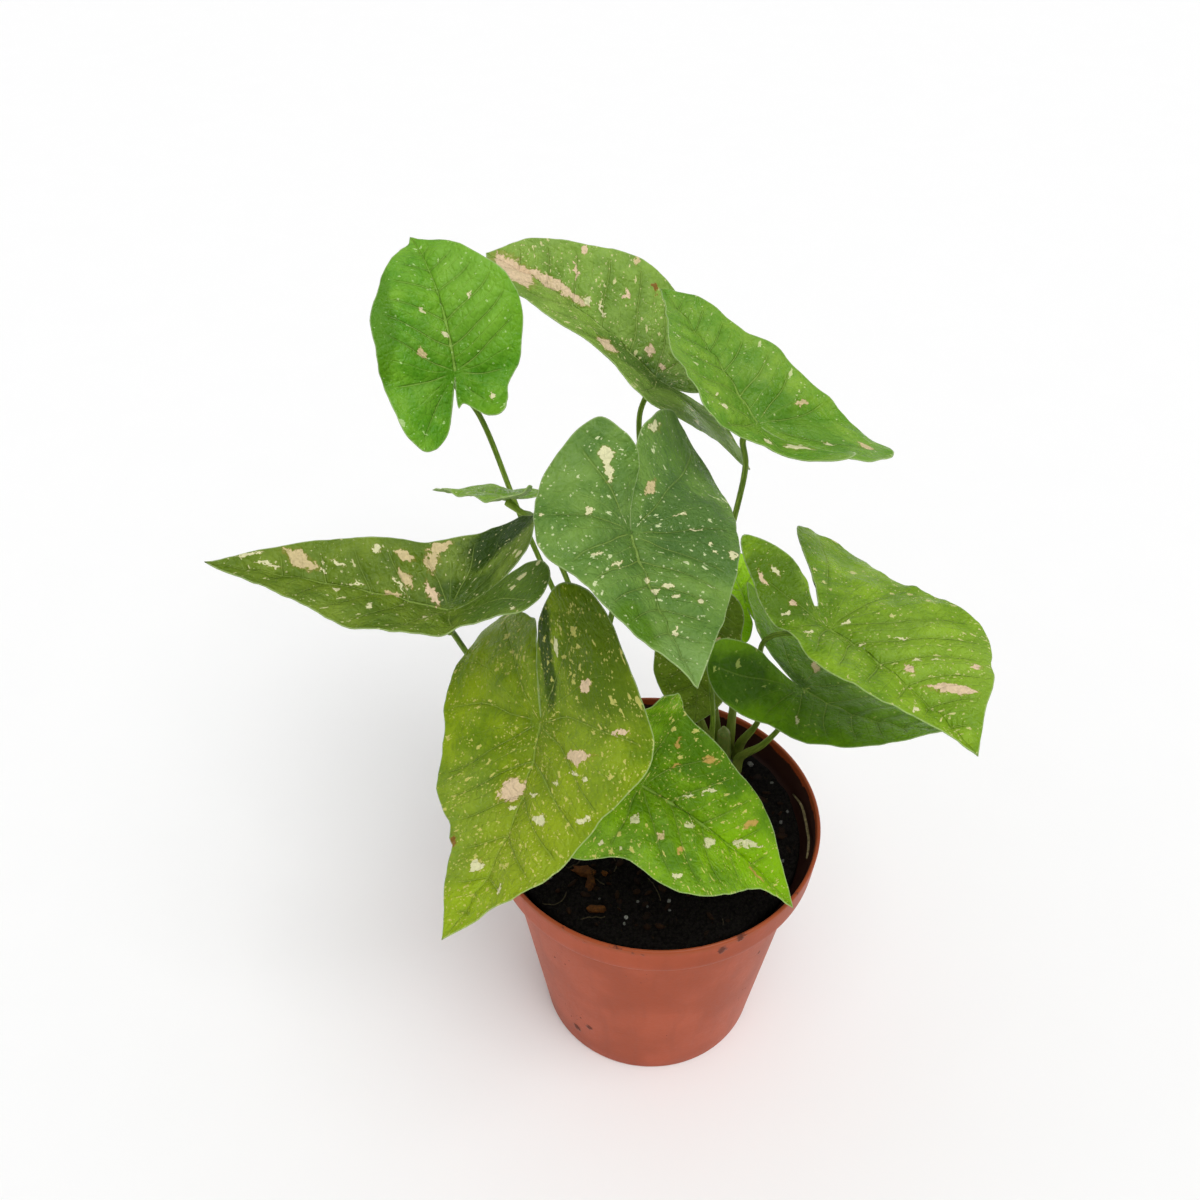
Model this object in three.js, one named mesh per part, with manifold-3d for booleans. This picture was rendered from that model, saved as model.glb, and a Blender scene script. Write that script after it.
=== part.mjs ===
// An arrowhead plant (Syngonium) in a round nursery pot.
// Millimetres, +Z up. The pot stands on Z = 0, with the middle of its base at the origin.
// Each leaf is a thin arrow-shaped blade on a long stalk, and the stalks rise from three short stems.

import * as THREE from "three";
import { mergeVertices } from "three/addons/utils/BufferGeometryUtils.js";
import Module from "manifold-3d";

const wasm = await Module();
wasm.setup();

// ---- Driving sizes ----

// Pieces that touch on the living plant stand this far apart.
const SEAT_GAP = 0.3;

// Vertices closer than this are one, and bends flatter than TINY count as straight.
const MERGE_DISTANCE = 1e-3;
const TINY = 1e-6;

const POT = {
  rimRadius: 60,
  height: 103,
  wall: 1.4,
  bandHeight: 12,
  bandDraft: 1,
  bandStep: 1,
  lipRound: 0.7,
  lipTaper: 0.3,
  neckRadius: 54.8,
  footRadius: 42,
  centreRadius: 20,
  grooveRise: 2,
  grooveSlope: 1.5,
  footWidth: 3.5,
  footRound: 0.8,
  drainHoles: 8,
  drainDiameter: 7,
  drainFacets: 12,
  facets: 40,
};

const SOIL = {
  belowRim: 9,
  relief: 1.3,
  coarseShare: 0.65,
  coarseSpan: [6.1, 5.3],
  coarsePhase: [0.8, -0.4],
  fineSpan: [2.7, -3.1],
  edgeSpread: 0.6,
  rings: 5,
  facets: 40,
};

const STEM = {
  radius: 3,
  tipRadius: 2.3,
  rise: 20,
  root: 7,
  knotRise: 6.8,
  knotHalfHeight: 0.8,
  knotSwell: 0.25,
  shaftEnd: 14,
  tipHeight: 1.5,
  tipTaper: 1.2,
  facets: 10,
};

const STALK = {
  baseRadius: 1.5,
  radius: 0.95,
  sheath: 45,
  root: 6,
  splay: 0.1,
  sheathRise: 8,
  neck: 6,
  straightEnd: 2.5,
  steps: 14,
  crowding: 1.5,
  facets: 8,
};

// Bores in the soil. They start and end at these shares of the way from a root's foot to soil level.
const BORE = {
  clearance: 0.6,
  start: -0.1,
  end: 1.5,
  facets: 10,
};

const BLADE = {
  thickness: 0.7,
  sinus: 2,
  spans: 18,
  rings: [0.36, 0.7, 1],
  waves: 7,
  waveHeight: 0.7,
  lobeShare: 0.6,
  halfWidthShare: 0.5,
  rearEase: 0.2,
  notchSlope: 0.08,
  seam: 3,
};

// An outline is a row of radii about the point where the stalk joins the blade. Bearing 0 is the tip
// and bearing 180 is the notch between the lobes.
const BEARINGS = [0, 11, 28, 52, 80, 108, 132, 150, 165, 174, 180];

const SOIL_TOP = POT.height - SOIL.belowRim;

// The stems' middles at soil level, with the side each one leans to.
const STEMS = [
  { name: "stem_1", at: [-9, 12], lean: [-2, 1] },
  { name: "stem_2", at: [9, 8], lean: [0, -1] },
  { name: "stem_3", at: [28, 31], lean: [-1, 1] },
];

// One entry for each leaf. joint: where the stalk meets the blade. heading, dip, roll: where the tip
// points, how far it points down, and how far the left side is raised. left and right: radii at the
// bearings between tip and notch. curl: degrees by which the tip bends down and by which the left and the
// right lobe bend up. The pairs that follow are for the left and the right half. fold and side: degrees by
// which a half rises at the midrib and bends down again further out. lift: rise of the lobe's end. rear:
// rise of the lobe right from the joint. cup: rise of the lobe's outer margin. pinch: how far the lobe is
// drawn toward the other. twist: degrees by which the tip turns. sweep: how far the tip leans to the left.
// stem and around: the stem that the stalk stands beside, and the bearing about it. route: points that the
// stalk passes. slant: degrees between the stalk's end and the blade's normal.
const LEAVES = [
  {
    name: "1", colour: 0x4f9a1e, joint: [-66, 50.5, 255], heading: 104, dip: -71, roll: 12,
    tip: 49, left: [43, 36, 30, 25, 24, 26, 27, 20, 3], right: [44, 36, 31, 22, 18, 20, 23, 11, 12],
    curl: [64, 12, 47], fold: [8, 22], side: [8, 5], lift: [2, 5],
    rear: [0, 0], cup: [9, 21], pinch: [-2, 7], twist: -10, sweep: 1,
    stem: 0, around: 115, slant: 30, route: [[-29, 32, 158], [-48, 54, 197], [-60.5, 58.5, 235]],
  },
  {
    name: "2", colour: 0x3f7f26, joint: [-1.5, 69.5, 242.5], heading: 152, dip: -38, roll: 3,
    tip: 72, left: [65, 52, 35, 39, 40, 34, 38, 22, 11], right: [63, 47, 37, 28, 29, 28, 25, 23, 14],
    curl: [25, -45, 42], fold: [24, 33], side: [-3, 10], lift: [-2, 10],
    rear: [30, 12], cup: [-9, 14], pinch: [7, -2], twist: -13, sweep: 0,
    stem: 2, around: 155, slant: 20, route: [[14, 37, 128], [7, 41, 160], [-3, 51, 200], [-6.5, 67, 229]],
  },
  {
    name: "3", colour: 0x4f9430, joint: [27, 21.5, 253.5], heading: 123, dip: -32, roll: 25,
    tip: 56, left: [45, 37, 31, 28, 23, 23, 33, 26, 16], right: [48, 32, 27, 26, 31, 35, 31, 25, 16],
    curl: [15, 3, -5], fold: [7, 26], side: [-4, 0], lift: [26, 16],
    rear: [12, 17], cup: [-16, -10], pinch: [7, -3], twist: -11, sweep: -2.5,
    stem: 2, around: 200, slant: 10, route: [[20.5, 16, 134], [18, 16, 168], [21, 23, 202], [25, 23.5, 237]],
  },
  {
    name: "4", colour: 0x3d6a30, joint: [-11.5, -23.5, 245], heading: -76, dip: 14, roll: -35,
    tip: 53, left: [43, 36, 31, 32, 37, 48, 49, 38, 21], right: [44, 38, 31, 32, 29, 32, 37, 29, 20],
    curl: [-7, 43, 54], fold: [24, 15], side: [0, 50], lift: [-14, 4],
    rear: [8, 5], cup: [-7, -16], pinch: [-1, 7], twist: 3, sweep: 2,
    stem: 1, around: 200, slant: 35, route: [[-11, -2, 138], [-20, -5, 173], [-16, -8, 206], [-13, -14, 232]],
  },
  {
    name: "5", colour: 0x3c6424, joint: [-63.5, -26, 220], heading: 173, dip: -13, roll: 7,
    tip: 71, left: [50, 37, 30, 23, 20, 33, 33, 25, 16], right: [50, 34, 24, 24, 31, 35, 30, 23, 17],
    curl: [8, 10, 41], fold: [17, 28], side: [6, 4], lift: [-27, -21],
    rear: [76, 54], cup: [-37, -16], pinch: [10, -8], twist: -21, sweep: 0,
    stem: 0, around: 190, slant: 15, route: [[-30, 1, 131], [-54.5, -2, 166], [-65, -12.5, 200]],
  },
  {
    name: "6", colour: 0x5f8f16, joint: [-37, -44.5, 193], heading: -103, dip: 44, roll: 35,
    tip: 67, left: [56, 48, 40, 43, 42, 43, 38, 28, 16], right: [55, 42, 39, 35, 40, 44, 36, 28, 14],
    curl: [-35, -31, -39], fold: [15, 9], side: [27, -5], lift: [13, -14],
    rear: [14, 28], cup: [-3, -16], pinch: [7, -3], twist: -6, sweep: -3,
    stem: 0, around: 250, slant: 30, route: [[-18, -8, 127], [-31, -24, 162]],
  },
  {
    name: "7", colour: 0x519018, joint: [-6.5, -28, 148], heading: -19, dip: 23, roll: 19,
    tip: 68, left: [50, 39, 29, 27, 32, 33, 31, 26, 14], right: [48, 42, 37, 29, 37, 47, 43, 34, 18],
    curl: [30, 50, 50], fold: [37, 26], side: [-1, 22], lift: [11, 4],
    rear: [0, 0], cup: [15, 15], pinch: [0, -3], twist: -16, sweep: -5.5,
    stem: 1, around: 255, slant: 30, route: [[3, -8, 117], [-2, -19, 134]],
  },
  {
    name: "8", colour: 0x5e9420, joint: [48, -20.5, 208], heading: -55, dip: -8, roll: -9,
    tip: 61, left: [53, 49, 45, 38, 38, 49, 46, 10, 11], right: [47, 38, 27, 19, 20, 28, 47, 27, 18],
    curl: [15, 51, 64], fold: [20, 27], side: [19, 50], lift: [-14, -2],
    rear: [10, 20], cup: [-12, -16], pinch: [-3, 7], twist: 0, sweep: -3.5,
    stem: 2, around: 25, slant: 30, route: [[38, 20, 132], [35, 15, 171], [43, -6, 194]],
  },
  {
    name: "9", colour: 0x3f6c1e, joint: [47, -0.5, 165], heading: -40, dip: 8, roll: -11,
    tip: 54, left: [44, 38, 33, 30, 32, 37, 41, 26, 7], right: [41, 33, 24, 20, 22, 30, 33, 21, 7],
    curl: [-40, 50, 50], fold: [4, 1], side: [11, 49], lift: [-7, 11],
    rear: [0, 0], cup: [-9, -16], pinch: [-2, 4], twist: -12, sweep: 5,
    stem: 2, around: 325, slant: 20, route: [[40, 19, 118], [45.5, 7, 145]],
  },
  {
    name: "10", colour: 0x74b32a, joint: [32.5, 45.5, 164], heading: 121, dip: -46, roll: 0,
    tip: 27, left: [22, 17, 14, 13, 14, 16, 16, 10, 7], right: [22, 17, 14, 13, 14, 16, 16, 10, 7],
    curl: [20, 20, 20], fold: [15, 15], side: [10, 10], lift: [2, 2],
    rear: [0, 0], cup: [0, 0], pinch: [0, 0], twist: 0, sweep: 0,
    stem: 2, around: 68, slant: 20, route: [[32, 46, 130], [33, 50, 152]],
  },
  {
    name: "11", colour: 0x4a5f22, joint: [17, 36, 173], heading: -100, dip: 72, roll: 0,
    tip: 50, left: [42, 29, 18, 14, 11, 9, 9, 7, 6], right: [44, 34, 22, 32, 26, 22, 18, 11, 8],
    curl: [5, 10, 10], fold: [12, 12], side: [15, 15], lift: [0, 0],
    rear: [0, 0], cup: [0, 0], pinch: [0, 0], twist: 0, sweep: 0,
    stem: 2, around: 112, slant: 40, route: [[22, 45, 130], [18, 48, 160]],
  },
  {
    name: "12", colour: 0x4e8a26, joint: [-50, 32, 219.5], heading: 152, dip: 8, roll: 22,
    tip: 30, left: [24, 18, 14, 13, 15, 17, 18, 13, 8], right: [24, 18, 14, 13, 15, 17, 18, 13, 8],
    curl: [9, 31, 31], fold: [11, 10], side: [16, 18], lift: [4, 1],
    rear: [0, 0], cup: [0, 0], pinch: [0, 0], twist: 1, sweep: 0,
    stem: 0, around: 60, slant: 65, route: [[-24, 26, 163], [-33, 33, 190], [-42, 33, 211]],
  },
];

// ---- Shared geometry ----

const radians = THREE.MathUtils.degToRad;

/** The geometry's own copy with its equal vertices merged, as a manifold-3d solid. */
function solidOf(geometry) {
  const bare = geometry.clone();
  bare.deleteAttribute("normal");
  bare.deleteAttribute("uv");
  const merged = mergeVertices(bare, MERGE_DISTANCE);
  const vertProperties = new Float32Array(merged.attributes.position.array);
  const triVerts = new Uint32Array(merged.index.array);
  return new wasm.Manifold(new wasm.Mesh({ numProp: 3, vertProperties, triVerts }));
}

function geometryOf(solid) {
  const cut = solid.getMesh();
  return closedGeometry(cut.vertProperties, cut.triVerts);
}

function closedGeometry(positions, triangles) {
  const geometry = new THREE.BufferGeometry();
  geometry.setAttribute("position", new THREE.Float32BufferAttribute(positions, 3));
  geometry.setIndex(Array.from(triangles));
  geometry.computeVertexNormals();
  return geometry;
}

/** A closed stalk round a list of centres, with a flat cap at each end. */
function sweep(centres, radii, facets) {
  const positions = [];
  const triangles = [];
  let side = new THREE.Vector3(1, 0, 0);
  centres.forEach((centre, k) => {
    const before = centres[Math.max(k - 1, 0)];
    const after = centres[Math.min(k + 1, centres.length - 1)];
    const along = after.clone().sub(before).normalize();
    side = side.clone().addScaledVector(along, -side.dot(along)).normalize();
    const across = along.clone().cross(side);
    for (let i = 0; i < facets; i++) {
      const turn = (2 * Math.PI * i) / facets;
      const point = centre.clone()
        .addScaledVector(side, radii[k] * Math.cos(turn))
        .addScaledVector(across, radii[k] * Math.sin(turn));
      positions.push(...point.toArray());
    }
  });
  const last = centres.length - 1;
  for (let k = 0; k < last; k++) {
    for (let i = 0; i < facets; i++) {
      const a = k * facets + i;
      const b = k * facets + ((i + 1) % facets);
      triangles.push(a, b, b + facets, a, b + facets, a + facets);
    }
  }
  for (let i = 1; i < facets - 1; i++) {
    triangles.push(0, i + 1, i);
    triangles.push(last * facets, last * facets + i, last * facets + i + 1);
  }
  return closedGeometry(positions, triangles);
}

// ---- Pot ----

/** The pot's wall as a closed profile of [radius, height] points, from the base up and back down inside. */
function potProfile() {
  const { rimRadius, height, wall, bandHeight, bandDraft, neckRadius, footRadius } = POT;
  const { centreRadius, grooveRise, grooveSlope, footWidth, footRound } = POT;
  const { bandStep, lipRound, lipTaper } = POT;
  const bandFoot = height - bandHeight;
  const footInner = footRadius - footWidth;
  const floor = grooveRise + wall;
  return [
    [0, 0],
    [centreRadius, 0],
    [centreRadius + grooveSlope, grooveRise],
    [footInner - grooveSlope, grooveRise],
    [footInner, 0],
    [footRadius - footRound, 0],
    [footRadius, footRound],
    [neckRadius, bandFoot - bandStep],
    [rimRadius - bandDraft, bandFoot],
    [rimRadius, height - lipRound],
    [rimRadius - lipRound, height],
    [rimRadius - wall - lipTaper, height - lipRound],
    [rimRadius - bandDraft - wall - lipTaper, bandFoot + wall],
    [neckRadius - wall, bandFoot - bandStep],
    [footRadius - wall, floor],
    [centreRadius, floor],
    [centreRadius - grooveSlope, wall],
    [0, wall],
  ];
}

function latheOf(profile, facets) {
  const points = profile.map(([radius, height]) => new THREE.Vector2(radius, height));
  const lathe = new THREE.LatheGeometry(points, facets);
  return lathe.rotateX(Math.PI / 2);
}

function drainHole(k) {
  const radius = (POT.centreRadius + POT.footRadius - POT.footWidth) / 2;
  const turn = (2 * Math.PI * k) / POT.drainHoles;
  const bore = POT.drainDiameter / 2;
  const depth = 4 * (POT.grooveRise + POT.wall);
  const cutter = new THREE.CylinderGeometry(bore, bore, depth, POT.drainFacets);
  cutter.rotateX(Math.PI / 2);
  cutter.translate(radius * Math.cos(turn), radius * Math.sin(turn), 0);
  return solidOf(cutter);
}

function potGeometry() {
  let pot = solidOf(latheOf(potProfile(), POT.facets));
  for (let k = 0; k < POT.drainHoles; k++) {
    pot = pot.subtract(drainHole(k));
  }
  return geometryOf(pot);
}

// ---- Soil ----

/** Low clods of the potting mix, as a rise above or below the mean level. */
function clods(x, y) {
  const { coarseSpan, coarsePhase, fineSpan } = SOIL;
  const coarse = Math.sin(x / coarseSpan[0] + coarsePhase[0]) * Math.cos(y / coarseSpan[1] + coarsePhase[1]);
  const fine = Math.sin(x / fineSpan[0] + y / fineSpan[1]);
  return SOIL.relief * THREE.MathUtils.lerp(fine, coarse, SOIL.coarseShare);
}

/** Inner radius of the pot's wall at a height, between the floor and the band. */
function wallInside(height) {
  const floor = POT.grooveRise + POT.wall;
  const share = (height - floor) / (POT.height - POT.bandHeight - POT.bandStep - floor);
  return THREE.MathUtils.lerp(POT.footRadius, POT.neckRadius, share) - POT.wall;
}

function soilBody() {
  const facets = SOIL.facets;
  const foot = POT.grooveRise + POT.wall + SEAT_GAP;
  const neck = POT.height - POT.bandHeight - POT.bandStep;
  const edgeRadius = wallInside(neck) - SEAT_GAP;
  const rings = [
    [wallInside(foot) - SEAT_GAP, () => foot],
    [edgeRadius, () => neck],
    [edgeRadius + SOIL.edgeSpread, () => SOIL_TOP],
  ];
  for (let k = SOIL.rings - 1; k > 0; k--) {
    rings.push([(edgeRadius * k) / SOIL.rings, (x, y) => SOIL_TOP + clods(x, y)]);
  }
  const positions = [];
  for (const [radius, level] of rings) {
    for (let i = 0; i < facets; i++) {
      const turn = (2 * Math.PI * i) / facets;
      const x = radius * Math.cos(turn);
      const y = radius * Math.sin(turn);
      positions.push(x, y, level(x, y));
    }
  }
  const triangles = [];
  for (let k = 0; k < rings.length - 1; k++) {
    for (let i = 0; i < facets; i++) {
      const a = k * facets + i;
      const b = k * facets + ((i + 1) % facets);
      triangles.push(a, b, b + facets, a, b + facets, a + facets);
    }
  }
  const under = rings.length * facets;
  const crest = (rings.length - 1) * facets;
  positions.push(0, 0, foot, 0, 0, SOIL_TOP + clods(0, 0));
  for (let i = 0; i < facets; i++) {
    const next = (i + 1) % facets;
    triangles.push(under, next, i);
    triangles.push(under + 1, crest + i, crest + next);
  }
  return solidOf(closedGeometry(positions, triangles));
}

/** A plain round hole along the part of a stem or stalk that stands in the soil. */
function soilHole(foot, above, radius) {
  const start = foot.clone().lerp(above, BORE.start);
  const end = foot.clone().lerp(above, BORE.end);
  const bore = radius + BORE.clearance;
  return solidOf(sweep([start, end], [bore, bore], BORE.facets));
}

function soilGeometry(roots) {
  let soil = soilBody();
  for (const { foot, above, radius } of roots) {
    soil = soil.subtract(soilHole(foot, above, radius));
  }
  return geometryOf(soil);
}

// ---- Stems ----

/** Where a stem starts in the soil and where it leaves it. */
function stemRoot(stem) {
  const [x, y] = stem.at;
  const [dx, dy] = stem.lean;
  const slope = 1 / STEM.rise;
  const at = (rise) => new THREE.Vector3(x + dx * rise * slope, y + dy * rise * slope, SOIL_TOP + rise);
  return { foot: at(-STEM.root), above: at(0), radius: STEM.radius, at };
}

function stemGeometry(stem) {
  const { at } = stemRoot(stem);
  const { root, rise: top, knotRise, knotHalfHeight, knotSwell, shaftEnd, tipHeight, tipTaper } = STEM;
  const sections = [
    [-root, 0],
    [0, 0],
    [knotRise - knotHalfHeight, 0],
    [knotRise, knotSwell],
    [knotRise + knotHalfHeight, 0],
    [shaftEnd, 0],
    [top - tipHeight, 0],
    [top, -tipTaper],
  ];
  const centres = sections.map(([rise]) => at(rise));
  const radii = sections.map(([rise, swell]) => {
    const share = Math.max(rise, 0) / top;
    return THREE.MathUtils.lerp(STEM.radius, STEM.tipRadius, share) + swell;
  });
  return sweep(centres, radii, STEM.facets);
}

// ---- Leaf stalks ----

/** A leaf's own frame: toward the tip, toward the left side, and out of the upper face. */
function leafFrame(leaf) {
  const h = radians(leaf.heading);
  const d = radians(leaf.dip);
  const r = radians(leaf.roll);
  const ahead = new THREE.Vector3(Math.cos(h) * Math.cos(d), Math.sin(h) * Math.cos(d), -Math.sin(d));
  const level = new THREE.Vector3(-Math.sin(h), Math.cos(h), 0);
  const up = ahead.clone().cross(level);
  const left = level.clone().multiplyScalar(Math.cos(r)).addScaledVector(up, Math.sin(r));
  const out = up.clone().multiplyScalar(Math.cos(r)).addScaledVector(level, -Math.sin(r));
  return { ahead, left, out };
}

/** Where a leaf's stalk starts in the soil and where it leaves it, beside its stem. */
function stalkRoot(leaf) {
  const stem = STEMS[leaf.stem];
  const turn = radians(leaf.around);
  const reach = STEM.radius + 2 * SEAT_GAP + STALK.baseRadius;
  const x = stem.at[0] + reach * Math.cos(turn);
  const y = stem.at[1] + reach * Math.sin(turn);
  const at = (rise) => {
    const splay = STALK.splay * (rise + STALK.root);
    return new THREE.Vector3(x + splay * Math.cos(turn), y + splay * Math.sin(turn), SOIL_TOP + rise);
  };
  return { foot: at(-STALK.root), above: at(0), radius: STALK.baseRadius, at };
}

/** The stalk's middle line, from its foot in the soil to just under the blade. */
function stalkCurve(leaf) {
  const { ahead, out } = leafFrame(leaf);
  const slant = radians(leaf.slant);
  const arrive = out.clone().multiplyScalar(Math.cos(slant)).addScaledVector(ahead, Math.sin(slant));
  const depth = BLADE.thickness / 2 + SEAT_GAP + STALK.radius * Math.sin(slant);
  const end = new THREE.Vector3(...leaf.joint).addScaledVector(out, -depth);
  const near = end.clone().addScaledVector(arrive, -STALK.straightEnd);
  const neck = end.clone().addScaledVector(arrive, -STALK.neck);
  const { foot, above, at } = stalkRoot(leaf);
  const route = leaf.route.map((point) => new THREE.Vector3(...point));
  const points = [foot, above, at(STALK.sheathRise), ...route, neck, near, end];
  return new THREE.CatmullRomCurve3(points, false, "centripetal");
}

function stalkGeometry(leaf) {
  const curve = stalkCurve(leaf);
  const length = curve.getLength();
  const centres = [];
  const radii = [];
  for (let k = 0; k <= STALK.steps; k++) {
    const share = 1 - Math.pow(1 - k / STALK.steps, STALK.crowding);
    const climbed = share * length - STALK.root;
    const slim = THREE.MathUtils.smoothstep(climbed, 0, STALK.sheath);
    centres.push(curve.getPointAt(share));
    radii.push(THREE.MathUtils.lerp(STALK.baseRadius, STALK.radius, slim));
  }
  return sweep(centres, radii, STALK.facets);
}

// ---- Blades ----

/** One side of the outline as [ahead, left] points, from the tip to the notch. */
function outlineSide(leaf, radii, side) {
  const all = [leaf.tip, ...radii, BLADE.sinus];
  const points = all.map((radius, k) => {
    const bearing = radians(BEARINGS[k]) * side;
    return new THREE.Vector3(radius * Math.cos(bearing), radius * Math.sin(bearing), 0);
  });
  const line = new THREE.CatmullRomCurve3(points, false, "centripetal").getPoints(BLADE.spans);
  for (const point of line) {
    const nearest = BLADE.notchSlope * (-point.x - BLADE.sinus);
    point.y = side * Math.max(side * point.y, nearest);
  }
  return line;
}

/** The closed outline, clockwise from above: notch, left side, tip, right side. */
function outline(leaf) {
  const left = outlineSide(leaf, leaf.left, 1).reverse();
  const right = outlineSide(leaf, leaf.right, -1);
  return [...left, ...right.slice(1, -1)];
}

/** x and z of a point that lies a distance along an arc of this curvature. */
function alongArc(curvature, distance) {
  if (Math.abs(curvature) < TINY) {
    return [distance, 0];
  }
  return [Math.sin(curvature * distance) / curvature, (1 - Math.cos(curvature * distance)) / curvature];
}

/** Where a point of the flat blade goes once the blade is folded, bent and turned into place. */
function bladePoint(leaf, frame, ahead, left, share) {
  const side = left > 0 ? 0 : 1;
  const lobeLength = BLADE.lobeShare * leaf.tip;
  const halfWidth = BLADE.halfWidthShare * leaf.tip;
  const bend = ahead > 0 ? radians(leaf.curl[0]) / leaf.tip : -radians(leaf.curl[side + 1]) / lobeLength;
  const [along, drop] = alongArc(bend, ahead);
  const turned = bend * ahead;

  const fold = radians(leaf.fold[side]);
  const bow = radians(leaf.side[side]) / halfWidth || TINY;
  const outward = Math.abs(left);
  const spread = (Math.sin(fold) - Math.sin(fold - bow * outward)) / bow;
  const behind = THREE.MathUtils.clamp(-ahead / lobeLength, 0, 2);
  const rise =
    (Math.cos(fold - bow * outward) - Math.cos(fold)) / bow +
    leaf.lift[side] * behind ** 2 +
    (leaf.rear[side] * behind ** 2) / (behind + BLADE.rearEase) +
    (leaf.cup[side] * behind * outward) / halfWidth +
    BLADE.waveHeight * share ** 3 * Math.sin(BLADE.waves * Math.atan2(left, ahead));
  const tipLean = leaf.sweep * (Math.max(ahead, 0) / leaf.tip) ** 2;
  const closing = ((leaf.pinch[0] + leaf.pinch[1]) / 2) * behind;
  const aside = ((leaf.pinch[0] - leaf.pinch[1]) / 2) * behind;
  const drawn = closing > 0 ? spread ** 2 / (spread + closing) : spread - closing;
  const sideways = Math.sign(left) * drawn - aside + tipLean;

  const twist = radians(leaf.twist) * (ahead / leaf.tip);
  const y = sideways * Math.cos(twist) - rise * Math.sin(twist);
  const z = sideways * Math.sin(twist) + rise * Math.cos(twist);
  return new THREE.Vector3(...leaf.joint)
    .addScaledVector(frame.ahead, along + z * Math.sin(turned))
    .addScaledVector(frame.left, y)
    .addScaledVector(frame.out, z * Math.cos(turned) - drop);
}

/** The blade's middle sheet: the joint, then one ring of points for each share of the outline. */
function bladeSheet(leaf) {
  const frame = leafFrame(leaf);
  const edge = outline(leaf);
  const count = edge.length;
  const points = [bladePoint(leaf, frame, 0, 0, 0)];
  const flat = [[0, 0]];
  for (const share of BLADE.rings) {
    for (const { x, y } of edge) {
      points.push(bladePoint(leaf, frame, x * share, y * share, share));
      flat.push([x * share, y * share]);
    }
  }
  const triangles = [];
  for (let i = 0; i < count; i++) {
    const next = (i + 1) % count;
    triangles.push([0, 1 + next, 1 + i]);
    for (let k = 0; k < BLADE.rings.length - 1; k++) {
      const a = 1 + k * count + i;
      const b = 1 + k * count + next;
      triangles.push([a, b, b + count], [a, b + count, a + count]);
    }
  }
  return { points, flat, triangles, count };
}

/** The sheet's normals, kept from leaning across the notch so that its two walls don't cross. */
function sheetNormals(leaf, { points, flat, triangles }) {
  const normals = points.map(() => new THREE.Vector3());
  for (const [a, b, c] of triangles) {
    const ab = points[b].clone().sub(points[a]);
    const ac = points[c].clone().sub(points[a]);
    const area = ab.cross(ac);
    [a, b, c].forEach((corner) => normals[corner].add(area));
  }
  const frame = leafFrame(leaf);
  return normals.map((normal, k) => {
    const [ahead, left] = flat[k];
    const near = ahead < 0 ? 1 - THREE.MathUtils.smoothstep(Math.abs(left), 0, BLADE.seam) : 0;
    normal.normalize();
    return normal.addScaledVector(frame.left, -near * normal.dot(frame.left)).normalize();
  });
}

/** The sheet given its thickness, with both faces split into the same triangles. */
function bladeGeometry(leaf) {
  const sheet = bladeSheet(leaf);
  const normals = sheetNormals(leaf, sheet);
  const total = sheet.points.length;
  const positions = [];
  for (const way of [1, -1]) {
    sheet.points.forEach((point, k) => {
      const face = point.clone().addScaledVector(normals[k], (way * BLADE.thickness) / 2);
      positions.push(...face.toArray());
    });
  }
  const triangles = [];
  for (const [a, b, c] of sheet.triangles) {
    triangles.push(a, b, c, total + a, total + c, total + b);
  }
  const rim = total - sheet.count;
  for (let i = 0; i < sheet.count; i++) {
    const a = rim + i;
    const b = rim + ((i + 1) % sheet.count);
    triangles.push(a, b, total + b, a, total + b, total + a);
  }
  return closedGeometry(positions, triangles);
}

// ---- The plant ----

const TERRACOTTA_PLASTIC = { color: 0xb5532f, roughness: 0.5, metalness: 0 };
const POTTING_MIX = { color: 0x1d130d, roughness: 0.95, metalness: 0 };
const STEM_GREEN = { color: 0x6f8a3a, roughness: 0.6, metalness: 0 };
const STALK_GREEN = { color: 0x587a2e, roughness: 0.5, metalness: 0 };
const LEAF_FINISH = { roughness: 0.42, metalness: 0 };

function piece(name, geometry, finish) {
  const mesh = new THREE.Mesh(geometry, new THREE.MeshStandardMaterial(finish));
  mesh.name = name;
  return mesh;
}

const plant = new THREE.Group();
const roots = [...STEMS.map(stemRoot), ...LEAVES.map(stalkRoot)];
plant.add(piece("pot", potGeometry(), TERRACOTTA_PLASTIC));
plant.add(piece("soil", soilGeometry(roots), POTTING_MIX));
for (const stem of STEMS) {
  plant.add(piece(stem.name, stemGeometry(stem), STEM_GREEN));
}
for (const leaf of LEAVES) {
  plant.add(piece(`petiole_${leaf.name}`, stalkGeometry(leaf), STALK_GREEN));
  plant.add(piece(`blade_${leaf.name}`, bladeGeometry(leaf), { ...LEAF_FINISH, color: leaf.colour }));
}

export default plant;
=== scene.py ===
import math
import random
from typing import NamedTuple

import bpy
import numpy as np
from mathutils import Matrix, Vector, noise


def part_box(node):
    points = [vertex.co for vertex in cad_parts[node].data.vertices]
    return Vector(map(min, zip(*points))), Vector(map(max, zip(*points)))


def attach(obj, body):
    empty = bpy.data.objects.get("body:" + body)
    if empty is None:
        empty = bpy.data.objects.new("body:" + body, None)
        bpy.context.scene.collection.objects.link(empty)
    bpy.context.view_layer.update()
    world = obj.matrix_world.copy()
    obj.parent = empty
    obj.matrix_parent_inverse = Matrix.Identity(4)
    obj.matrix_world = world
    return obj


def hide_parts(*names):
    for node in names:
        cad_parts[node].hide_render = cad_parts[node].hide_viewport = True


bl_info = {
    "name": "Arrowhead plant",
    "version": (1, 0, 0),
    "blender": (4, 5, 0),
    "location": "3D View > Sidebar > Arrowhead plant",
    "description": "Dresses a potted arrowhead plant: pot, potting mix, stems, leaf stalks and leaf blades",
    "category": "Add Mesh",
}

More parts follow.
